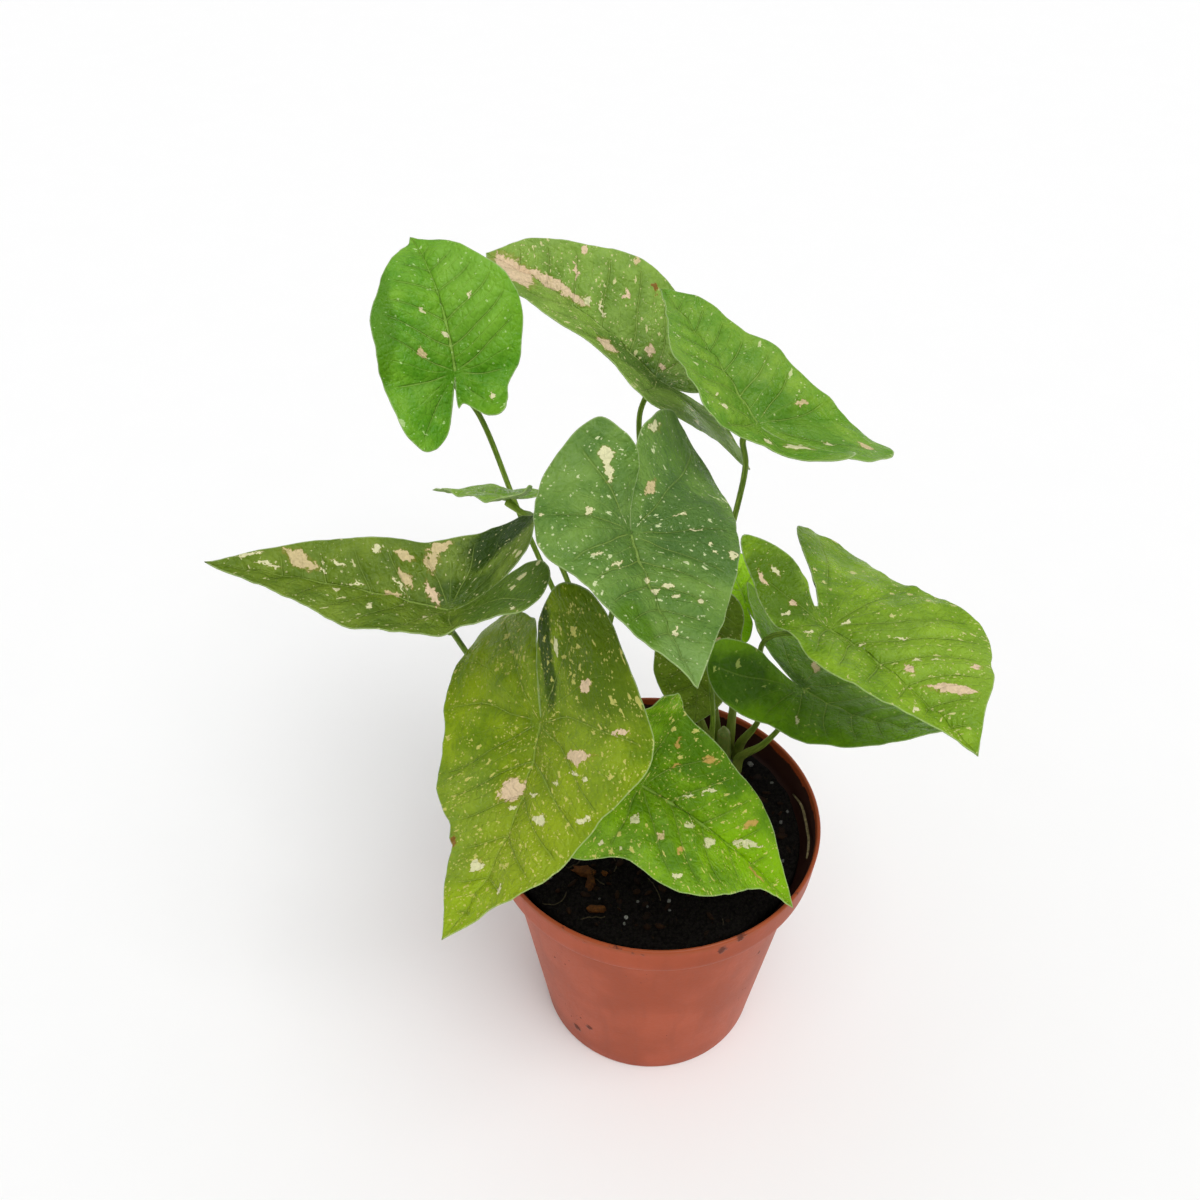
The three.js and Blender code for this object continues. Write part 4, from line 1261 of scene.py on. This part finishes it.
def outline_side(leaf, radii, side, spans):
    """One side of the flat outline as (ahead, left) points, from the tip to the notch."""
    reach = [leaf.tip, *radii, SINUS]
    bearings = [math.radians(b) * side for b in BEARINGS]
    corners = [(r * math.cos(b), r * math.sin(b), 0) for r, b in zip(reach, bearings)]
    line = RoundCurve(corners, spans).line[:, :2]
    nearest = NOTCH_SLOPE * (-line[:, 0] - SINUS)
    return np.column_stack([line[:, 0], side * np.maximum(side * line[:, 1], nearest)])


def flat_outline(leaf, spans):
    """The closed flat outline: notch, left side, tip, right side, with ripples and nibbles."""
    left = outline_side(leaf, leaf.left, 1, spans)[::-1]
    right = outline_side(leaf, leaf.right, -1, spans)
    edge = np.concatenate([left, right[1:-1]])
    radius = np.linalg.norm(edge, axis=1)
    bearing = np.degrees(np.arctan2(edge[:, 1], edge[:, 0]))
    seed = 5.3 * float(leaf.name)
    ripple = np.array([bumpy(x, y, RIPPLE_SIZE, seed, 2) for x, y in edge])
    change = RIPPLE_OUTLINE * ripple * smoothstep(np.abs(bearing), 0, 9)
    for at, width, depth in NIBBLES.get(leaf.name, ()):
        change = change - depth * np.exp(-(((bearing - at) / width) ** 2))
    return edge * (1 + change * smoothstep(radius, 8, 20) / radius)[:, None]


def along_arc(curvature, distance):
    curvature = np.where(np.abs(curvature) < 1e-9, 1e-9, curvature)
    return np.sin(curvature * distance) / curvature, (1 - np.cos(curvature * distance)) / curvature


def placed(leaf, ahead, left, share):
    """Where points of the flat blade go once it is folded, bent and turned into place."""
    side = np.where(left > 0, 0, 1)
    back = 0.6 * leaf.tip
    lobe_curl = np.radians(np.array(leaf.curl, float)[side + 1])
    bend = np.where(ahead > 0, math.radians(leaf.curl[0]) / leaf.tip, -lobe_curl / back)
    forward, drop = along_arc(bend, ahead)
    turned_by = bend * ahead

    fold = np.radians(np.array(leaf.fold, float)[side])
    bow = np.radians(np.array(leaf.side, float)[side]) / (0.5 * leaf.tip)
    bow = np.where(bow == 0, 1e-6, bow)
    outward = np.abs(left)
    spread = (np.sin(fold) - np.sin(fold - bow * outward)) / bow
    behind = np.clip(-ahead / back, 0, 2)
    wave = MARGIN_WAVE_HEIGHT * share**3 * np.sin(MARGIN_WAVES * np.arctan2(left, ahead))
    rise = (np.cos(fold - bow * outward) - np.cos(fold)) / bow
    lift, rear, cup = (np.array(pair, float)[side] for pair in (leaf.lift, leaf.rear, leaf.cup))
    rise = rise + lift * behind**2 + rear * behind**2 / (behind + REAR_EASE)
    rise = rise + cup * behind * outward / (0.5 * leaf.tip) + wave
    sweep = leaf.sweep * (np.maximum(ahead, 0) / leaf.tip) ** 2
    closing = (leaf.pinch[0] + leaf.pinch[1]) / 2 * behind
    aside = (leaf.pinch[0] - leaf.pinch[1]) / 2 * behind
    drawn = np.where(closing > 0, spread**2 / np.maximum(spread + closing, 1e-9), spread - closing)
    sideways = np.sign(left) * drawn - aside + sweep

    twist = math.radians(leaf.twist) * (ahead / leaf.tip)
    y = sideways * np.cos(twist) - rise * np.sin(twist)
    z = sideways * np.sin(twist) + rise * np.cos(twist)
    toward, leftward, out = leaf_axes(leaf)
    return (
        np.array(leaf.joint, float)
        + np.outer(forward + z * np.sin(turned_by), toward)
        + np.outer(y, leftward)
        + np.outer(z * np.cos(turned_by) - drop, out)
    )


def vein_field(leaf, ahead, left):
    """For flat points: a number that is whole on each lateral vein, and millimetres per whole number."""
    seed = float(leaf.name)
    near = smoothstep(np.hypot(ahead, left), 3, 16)
    slow = np.sin(ahead / 9.1 + left / 6.7 + seed) + 0.6 * np.sin(left / 4.3 - ahead / 7.7 + 2 * seed)
    ahead = ahead + VEIN_WANDER * near * slow
    across = np.abs(left)
    bent = VEIN_BEND * across**2
    start = ahead - VEIN_SLOPE * across - bent
    pitch = leaf.tip / VEINS_PER_SIDE
    lean = VEIN_SLOPE + 2 * VEIN_BEND * across
    first = math.atan2(1, VEIN_SLOPE)
    sweep = np.arctan2(across, ahead - bent) - first
    radius = np.hypot(ahead - bent, across)
    opening = math.radians(LOBE_VEIN_ANGLE)
    number = np.where(start > 0, start / pitch, -sweep / opening)
    gap = np.where(start > 0, pitch / np.sqrt(1 + lean**2), radius * opening)
    run = np.where(start > 0, across * np.sqrt(1 + lean**2), radius)
    return number, gap, run


def to_margin(points, edge):
    """Distance from each flat point to the closed outline."""
    ends = np.roll(edge, -1, axis=0)
    nearest = np.full(len(points), np.inf)
    for a, b in zip(edge, ends):
        along = b - a
        t = np.clip((points - a) @ along / max(along @ along, 1e-12), 0, 1)
        nearest = np.minimum(nearest, np.linalg.norm(points - a - np.outer(t, along), axis=1))
    return nearest


def blade_relief(leaf, flat, edge_gap, settings):
    """Rise of the blade between its veins, and its grooves, out of the upper face."""
    ahead, left = flat[:, 0], flat[:, 1]
    number, gap, _ = vein_field(leaf, ahead, left)
    off = np.abs(number - np.round(number))
    radius = np.hypot(ahead, left)
    fade = smoothstep(edge_gap, 0.5, 8) * smoothstep(radius, 1, 12)
    seed = float(leaf.name) * 3.7
    uneven = np.array([bumpy(x, y, 17, seed, 2) for x, y in flat])
    small = np.array([bumpy(x, y, 5.5, seed + 40, 2) for x, y in flat])
    quilt = settings.quilting / MM * leaf.quilt * (1 + 0.8 * small)
    rise = quilt * (np.sin(math.pi * off) ** 2 - 0.35) * fade
    middle = np.exp(-((left / 1.1) ** 2)) * (ahead > 0) * smoothstep(leaf.tip - ahead, 0, 14)
    rise -= settings.groove / MM * 1.5 * middle
    rise -= settings.groove / MM * np.exp(-((off * gap / 0.8) ** 2)) * fade
    ripple = RIPPLE_RISE * np.array([bumpy(x, y, RIPPLE_SIZE, seed + 80, 2) for x, y in flat])
    ripple *= np.exp(-edge_gap / 5) * smoothstep(radius, 8, 22)
    return rise + (0.5 * uneven + 0.3 * small) * smoothstep(edge_gap, 0, 5) + ripple


def vertex_normals(points, faces):
    faces = np.asarray(faces)
    ab = points[faces[:, 1]] - points[faces[:, 0]]
    ac = points[faces[:, 2]] - points[faces[:, 0]]
    area = np.cross(ab, ac)
    normals = np.zeros_like(points)
    for corner in range(3):
        np.add.at(normals, faces[:, corner], area)
    return normals / np.linalg.norm(normals, axis=1)[:, None]


def sheet_normals(leaf, flat, sheet, faces):
    """Normals of the sheet, kept from leaning across the notch so that its walls don't cross."""
    normals = vertex_normals(sheet, faces)
    near = np.where(flat[:, 0] < 0, 1 - smoothstep(np.abs(flat[:, 1]), 0, SEAM), 0)
    _, leftward, _ = leaf_axes(leaf)
    leaning = normals @ np.array(leftward, float)
    normals = normals - np.outer(near * leaning, leftward)
    return normals / np.linalg.norm(normals, axis=1)[:, None]


def blade_mesh(leaf, settings):
    """Points, faces and marks of a thin blade with veins pressed into it and a rounded margin."""
    edge = flat_outline(leaf, settings.spans)
    count = len(edge)
    rings = settings.rings
    shares = np.linspace(0, 1, rings + 1)[1:] ** 0.92
    shares[-1] = 0.996
    flat = np.concatenate([[[0, 0]], *(edge * share for share in shares)])
    at_share = np.concatenate([[0], np.repeat(shares, count)])
    sheet = placed(leaf, flat[:, 0], flat[:, 1], at_share)
    triangles = [(0, 1 + (i + 1) % count, 1 + i) for i in range(count)]
    quads = []
    for k in range(rings - 1):
        for i in range(count):
            a, b = 1 + k * count + i, 1 + k * count + (i + 1) % count
            quads.append((a, b, b + count, a + count))
    halves = [half for a, b, c, d in quads for half in ((a, b, c), (a, c, d))]
    normals = sheet_normals(leaf, flat, sheet, triangles + halves)
    edge_gap = to_margin(flat, edge)
    sheet = sheet + normals * blade_relief(leaf, flat, edge_gap, settings)[:, None]
    normals = sheet_normals(leaf, flat, sheet, triangles + halves)

    half = (settings.rim_thickness + (settings.thickness - settings.rim_thickness)
            * smoothstep(edge_gap, 0, 6)) / MM / 2
    slimmer = 1 - np.clip(flat[:, 0] / leaf.tip, 0, 1)
    rib = np.exp(-((flat[:, 1] / 1.1) ** 2)) * (flat[:, 0] > -1) * slimmer**0.7 * settings.midrib / MM
    number, gap, run = vein_field(leaf, flat[:, 0], flat[:, 1])
    off = np.abs(number - np.round(number)) * gap
    small_rib = 0.3 * np.exp(-((off / 0.7) ** 2)) * smoothstep(edge_gap, 1, 7)
    upper = sheet + normals * half[:, None]
    lower = sheet - normals * (half + np.maximum(rib, small_rib))[:, None]
    rim = placed(leaf, edge[:, 0], edge[:, 1], np.ones(count))
    rim += normals[-count:] * blade_relief(leaf, edge, np.zeros(count), settings)[:, None]
    points = np.concatenate([upper, lower, rim])

    total = len(sheet)
    faces = list(triangles) + list(quads)
    faces += [tuple(total + corner for corner in reversed(face)) for face in triangles + quads]
    last = 1 + (rings - 1) * count
    for i in range(count):
        j = (i + 1) % count
        faces.append((last + i, last + j, 2 * total + j, 2 * total + i))
        faces.append((total + last + j, total + last + i, 2 * total + i, 2 * total + j))

    seed = float(leaf.name) * 31
    plan = np.column_stack([flat, np.full(total, seed)])
    veins = np.column_stack([number, gap, edge_gap])
    edge_plan = np.column_stack([edge, np.full(count, seed)])
    edge_number, edge_vein_gap, edge_run = vein_field(leaf, edge[:, 0], edge[:, 1])
    edge_veins = np.column_stack([edge_number, edge_vein_gap, np.zeros(count)])
    grain = np.column_stack([number * leaf.tip / VEINS_PER_SIDE, run, np.full(total, seed)])
    edge_grain = np.column_stack([edge_number * leaf.tip / VEINS_PER_SIDE, edge_run, np.full(count, seed)])
    marks = {
        "plan": np.concatenate([plan, plan, edge_plan]),
        "veins": np.concatenate([veins, veins, edge_veins]),
        "grain": np.concatenate([grain, grain, edge_grain]),
        "under": np.concatenate([np.zeros(total), np.ones(total), np.zeros(count)]),
    }
    return points, faces, marks


def marked(finish, plan, jag, marks, kind):
    """How much a point is covered by this blade's marks of one tint, with torn edges."""
    cover = None
    for tint_name, ahead, left, half_length, half_width, turn in marks:
        if tint_name != kind:
            continue
        half = (half_length * SHARD_GROWTH, half_width * SHARD_GROWTH, 1e6)
        spot = finish.shard(plan, (ahead, left, 0), half, turn)
        torn = 1 / (half_length * half_width) ** 0.25
        spot = finish.math("MULTIPLY_ADD", jag, torn, spot)
        cover = spot if cover is None else finish.math("MINIMUM", cover, spot)
    return cover


def toned_and_painted_light(finish, plan, ragged, leaf_name, base):
    """The blade's colour with its soft darker and lighter areas, partly its own tone and partly painted shade and
    painted light.
    """
    for code, ahead, left, half_length, half_width, turn, strength in TONES_AND_PAINTED_LIGHT.get(leaf_name, ()):
        spot = finish.spot(plan, (ahead, left, 0), (half_length, half_width, 1e6), turn)
        spot = finish.math("ADD", spot, ragged)
        base = finish.mix(finish.step(spot, 1.2, 0.65, 0, strength), base, tint(code))
    return base


def fleck_layer(finish, grain, size, stretch, density, cluster, radius):
    """Small angular flecks drawn out along the veins. density is the share of cells with one."""
    place = finish.vector("MULTIPLY", grain, (1, stretch, 1))
    wobble = finish.node("ShaderNodeTexNoise", Vector=place, Scale=2.2 / size, Detail=3.0)
    shift = finish.vector("MULTIPLY", wobble.outputs["Color"], (0.9 * size,) * 3)
    cell = finish.cells(finish.vector("ADD", place, shift), size, metric="MANHATTAN")
    chance = finish.node("ShaderNodeSeparateColor", Color=cell.outputs["Color"])
    chosen = finish.math("LESS_THAN", chance.outputs["Red"], finish.math("MULTIPLY", cluster, density))
    reach = finish.math("MULTIPLY", finish.math("ADD", chance.outputs["Green"], 0.35), radius)
    inside = finish.step(finish.math("SUBTRACT", cell.outputs["Distance"], reach), 0.04, -0.02)
    return finish.math("MULTIPLY", chosen, inside)


def blade_finish(leaf, settings):
    """Satin leaf skin: two greens in clouds, soft areas partly of painted shade and painted light, painted shade
    round the stalk and along the vein grooves, pale veins and margin, flecks and torn cream patches.
    """
    finish = Finish(f"leaf {leaf.name} skin")
    plan = finish.attribute("plan", "Vector")
    grain = finish.attribute("grain", "Vector")
    under = finish.attribute("under")
    where = finish.node("ShaderNodeSeparateXYZ", Vector=plan)
    ahead, left = where.outputs["X"], where.outputs["Y"]
    vein = finish.node("ShaderNodeSeparateXYZ", Vector=finish.attribute("veins", "Vector"))
    number, gap, edge = vein.outputs["X"], vein.outputs["Y"], vein.outputs["Z"]

    deep, pale = tint(leaf.deep), tint(leaf.pale)
    clouds = finish.noise(plan, 12, 6, 0.68)
    cast = finish.noise(plan, 33, 2)
    dust = finish.noise(plan, 0.9, 4, 0.7)
    base = finish.mix(finish.step(clouds, 0.28, 0.72), tuple(0.92 * c for c in deep), pale)
    greyer = tuple(0.55 * c + 0.45 * g for c, g in zip(pale, (0.19, 0.27, 0.12)))
    base = finish.mix(finish.step(cast, 0.48, 0.7, 0, 0.35), base, greyer)
    base = finish.mix(finish.step(dust, 0.35, 0.75, 0, 0.3), base, pale)
    ragged = finish.math("MULTIPLY", finish.math("SUBTRACT", clouds, 0.5), 1.2)
    # Soft areas that are partly the blade's own tone and partly painted shade and painted light.
    base = toned_and_painted_light(finish, plan, ragged, leaf.name, base)

    nearest = finish.math("ROUND", number)
    off = finish.math("MULTIPLY", finish.math("ABSOLUTE", finish.math("SUBTRACT", number, nearest)), gap)
    half = finish.math("FRACT", number)
    half_off = finish.math("MULTIPLY", finish.math("ABSOLUTE", finish.math("SUBTRACT", half, 0.5)), gap)
    reach = finish.step(edge, 2, 6)
    lateral = finish.math("MULTIPLY", finish.step(off, 0.42, 0.1), reach)
    lesser = finish.math("MULTIPLY", finish.step(half_off, 0.3, 0.05, 0, 0.45), reach)
    sideways = finish.math("ABSOLUTE", left)
    taper = finish.step(ahead, 0, leaf.tip, 0.55, 0.18)
    on_rib = finish.math("GREATER_THAN", ahead, 0.0)
    midrib = finish.math(
        "MULTIPLY", finish.step(finish.math("SUBTRACT", sideways, taper), 0.15, -0.15), on_rib
    )
    wander = finish.math("MULTIPLY", finish.noise(plan, 6, 2), 2.4)
    ring = finish.math("ABSOLUTE", finish.math("SUBTRACT", finish.math("ADD", edge, wander), 4.6))
    collecting = finish.step(ring, 0.25, 0.05, 0, 0.3)
    net = finish.cells(plan, 2.3, "DISTANCE_TO_EDGE").outputs["Distance"]
    netting = finish.step(net, 0.07, 0.01, 0, 0.14)
    lines = finish.math("MAXIMUM", finish.math("MAXIMUM", lateral, lesser), midrib)
    lines_all = finish.math("MAXIMUM", lines, finish.math("MAXIMUM", collecting, netting))
    # Painted shade along the grooves of the lateral veins.
    vein_groove_shade = finish.math("MULTIPLY", finish.step(off, 2.2, 0.3, 0, 0.2), reach)
    base = finish.mix(vein_groove_shade, base, tuple(c * 0.6 for c in deep))
    # Painted shade: the middle of the blade round the stalk is darkened toward the deep green.
    middle_shade_size = (MIDDLE_SHADE_HALF_LENGTH * leaf.tip, MIDDLE_SHADE_HALF_WIDTH * leaf.tip, 1e6)
    middle_shade = finish.spot(plan, (3, 0, 0), middle_shade_size, 0)
    middle_shade = finish.step(finish.math("ADD", middle_shade, ragged), 1.2, 0.2)
    base = finish.mix(finish.math("MULTIPLY", middle_shade, MIDDLE_SHADE_STRENGTH), base, tuple(c * 0.6 for c in deep))
    painted = finish.math("MULTIPLY", lines_all, finish.math("MULTIPLY_ADD", middle_shade, 0.22, 0.2))
    base = finish.mix(painted, base, tuple(settings.vein))

    streaks = finish.noise(finish.vector("MULTIPLY", grain, (1, 0.45, 1)), 1.3, 4, 0.7)
    lumps = finish.noise(plan, 4.5, 2)
    jag = finish.math("ADD", finish.math("MULTIPLY", streaks, 2.3), finish.math("MULTIPLY", lumps, 1.1))
    jag = finish.math("SUBTRACT", jag, 1.6)
    marks = MARKS.get(leaf.name, ())
    torn_plan = finish.drifted(plan, TEAR_WIDTH, TEAR_REACH)

    cluster = finish.step(finish.noise(plan, 11, 2), 0.3, 0.7, 0.15, 1.0)
    large = fleck_layer(finish, grain, 3.4, 0.45, 0.6 * leaf.flecks, cluster, 0.25)
    small = fleck_layer(finish, grain, 1.7, 0.5, 0.95 * leaf.fine, cluster, 0.36)
    tiny = fleck_layer(finish, plan, 0.9, 1.0, 0.9 * leaf.fine, cluster, 0.42)
    fleck = finish.math("MAXIMUM", large, finish.math("MAXIMUM", small, finish.math("MULTIPLY", tiny, 0.8)))
    top = finish.math("SUBTRACT", 1.0, under)
    speck = tint(leaf.speck)
    flecked = finish.mix(finish.step(dust, 0.3, 0.8), speck, tuple(0.8 * c for c in speck))
    base = finish.mix(finish.math("MULTIPLY", fleck, finish.math("MULTIPLY", top, 0.88)), base, flecked)

    showing = finish.math("MULTIPLY_ADD", under, -0.6, 1.0)
    for kind in ("cream", "tan", "salmon", "orange", "brown"):
        cover = marked(finish, torn_plan, jag, marks, kind)
        if cover is None:
            continue
        inside = finish.step(cover, 1.04, 0.94)
        border = finish.step(cover, 1.3, 1.05, 0, 0.3)
        tone = tint(MARK_TINTS[kind])
        shaded = finish.mix(finish.step(dust, 0.3, 0.7), tuple(c * 0.82 for c in tone), tone)
        base = finish.mix(finish.math("MULTIPLY", border, top), base, tint(0xA08030))
        base = finish.mix(finish.math("MULTIPLY", inside, showing), base, shaded)

    base = finish.mix(finish.step(edge, 0.45, 0.15, 0, 0.5), base, tuple(settings.margin))
    back_shade = tuple(c * 0.8 for c in settings.underside)
    dull = finish.mix(finish.step(clouds, 0.3, 0.7), tuple(settings.underside), back_shade)
    dull = finish.mix(finish.math("MULTIPLY", lines_all, 0.6), dull, tint(0xB4C88A))
    base = finish.mix(finish.math("MULTIPLY", under, 0.78), base, dull)

    worn = finish.noise(plan, 9, 4, 0.6)
    rough = finish.step(worn, 0.35, 0.65, settings.gloss - 0.1, settings.gloss + 0.12)
    rough = finish.math("ADD", rough, finish.math("MULTIPLY", under, 0.2))
    cell = finish.step(net, 0.0, 0.3)
    pimples = finish.noise(plan, 2.6, 5, 0.7)
    relief = finish.math("ADD", finish.math("MULTIPLY", cell, 0.4), finish.math("MULTIPLY", pimples, 1.6))
    sunk = finish.math("MULTIPLY_ADD", under, -1.3, 0.65)
    relief = finish.math("SUBTRACT", relief, finish.math("MULTIPLY", lines, sunk))
    return finish.surface(base, rough, relief, 0.0005, Specular_IOR_Level=LEAF_SHINE)


class ARROWHEAD_OT_blades(bpy.types.Operator):
    """Grows the twelve arrow-shaped blades with their veins and variegation"""

    bl_idname = "arrowhead.make_blades"
    bl_label = "Make the leaf blades"

    def execute(self, context):
        settings = context.scene.arrowhead_blades
        for leaf in LEAVES:
            points, faces, marks = blade_mesh(leaf, settings)
            piece = mesh_piece(f"leaf_{leaf.name}", points, faces, blade_finish(leaf, settings), marks)
            wear(piece, leaf.slot, f"blade_{leaf.name}")
        return {"FINISHED"}


# ---- Stage ----

CAMERA_PLACE = (-0.020, -0.290, 0.440)
CAMERA_PITCH = 39.3
CAMERA_LENS = 36
CAMERA_SENSOR = 36


def floor_finish(settings):
    """Plain matt floor with a very faint grain."""
    finish = Finish("plain floor")
    grain = finish.noise(finish.place(), 40, 3)
    base = tuple(settings.floor)
    mixed = finish.mix(finish.step(grain, 0.3, 0.7), base, tuple(c * 0.995 for c in base))
    return finish.surface(mixed, 0.9, grain, 0.00001, Specular_IOR_Level=0.1)


class ARROWHEAD_OT_stage(bpy.types.Operator):
    """Sets the plain pale floor, the soft studio light and the camera"""

    bl_idname = "arrowhead.make_stage"
    bl_label = "Make the stage"

    def execute(self, context):
        settings = context.scene.arrowhead_stage
        reach = 6000
        corners = [(-reach, -reach, 0), (reach, -reach, 0), (reach, reach, 0), (-reach, reach, 0)]
        floor = mesh_piece("floor", corners, [(0, 1, 2, 3)], floor_finish(settings))
        self.lamp("key light", settings.light, 38, (0.25, -0.45, 1))
        glint = self.lamp("glint light", settings.glint, 22, (0.2, 0, 1))
        glint.visible_diffuse = False
        world = bpy.data.worlds.new("soft sky")
        world.use_nodes = True
        background = world.node_tree.nodes["Background"]
        background.inputs["Color"].default_value = (1, 1, 1, 1)
        background.inputs["Strength"].default_value = settings.sky
        context.scene.world = world
        context.scene.view_settings.view_transform = "Standard"
        context.scene.view_settings.look = "None"
        camera = bpy.data.objects.new("camera", bpy.data.cameras.new("camera"))
        camera.data.lens = CAMERA_LENS
        camera.data.sensor_width = CAMERA_SENSOR
        camera.location = CAMERA_PLACE
        camera.rotation_euler = (math.radians(90 - CAMERA_PITCH), 0, 0)
        context.scene.collection.objects.link(camera)
        context.scene.camera = camera
        return {"FINISHED"}

    def lamp(self, name, strength, width, toward):
        """A far, wide light. width is how many degrees it fills, toward points at it."""
        light = bpy.data.lights.new(name, "SUN")
        light.energy = strength
        light.angle = math.radians(width)
        lamp = bpy.data.objects.new(name, light)
        lamp.rotation_euler = Vector(toward).to_track_quat("Z", "Y").to_euler()
        bpy.context.scene.collection.objects.link(lamp)
        return lamp


# ---- Add-on parts ----

OPERATORS = (
    ARROWHEAD_OT_pot,
    ARROWHEAD_OT_soil,
    ARROWHEAD_OT_stems,
    ARROWHEAD_OT_stalks,
    ARROWHEAD_OT_blades,
    ARROWHEAD_OT_stage,
)

SETTINGS = {
    "arrowhead_pot": PotSettings,
    "arrowhead_soil": SoilSettings,
    "arrowhead_stalks": StalkSettings,
    "arrowhead_blades": BladeSettings,
    "arrowhead_stage": StageSettings,
}


class ARROWHEAD_PT_panel(bpy.types.Panel):
    """Lists the plant's pieces in the order in which they are made"""

    bl_idname = "ARROWHEAD_PT_panel"
    bl_label = "Arrowhead plant"
    bl_space_type = "VIEW_3D"
    bl_region_type = "UI"
    bl_category = "Arrowhead plant"

    def draw(self, context):
        for operator in OPERATORS:
            self.layout.operator(operator.bl_idname)
        for name, group in SETTINGS.items():
            box = self.layout.box()
            box.label(text=name.removeprefix("arrowhead_").capitalize())
            for key in group.__annotations__:
                box.prop(getattr(context.scene, name), key)


def register():
    for name, group in SETTINGS.items():
        bpy.utils.register_class(group)
        setattr(bpy.types.Scene, name, bpy.props.PointerProperty(type=group))
    for item in (*OPERATORS, ARROWHEAD_PT_panel):
        bpy.utils.register_class(item)


def unregister():
    for item in reversed((*OPERATORS, ARROWHEAD_PT_panel)):
        bpy.utils.unregister_class(item)
    for name, group in reversed(SETTINGS.items()):
        delattr(bpy.types.Scene, name)
        bpy.utils.unregister_class(group)


def main():
    register()
    bpy.ops.arrowhead.make_pot()
    bpy.ops.arrowhead.make_soil()
    bpy.ops.arrowhead.make_stems()
    bpy.ops.arrowhead.make_stalks()
    bpy.ops.arrowhead.make_blades()
    bpy.ops.arrowhead.make_stage()


if __name__ == "__main__":
    main()
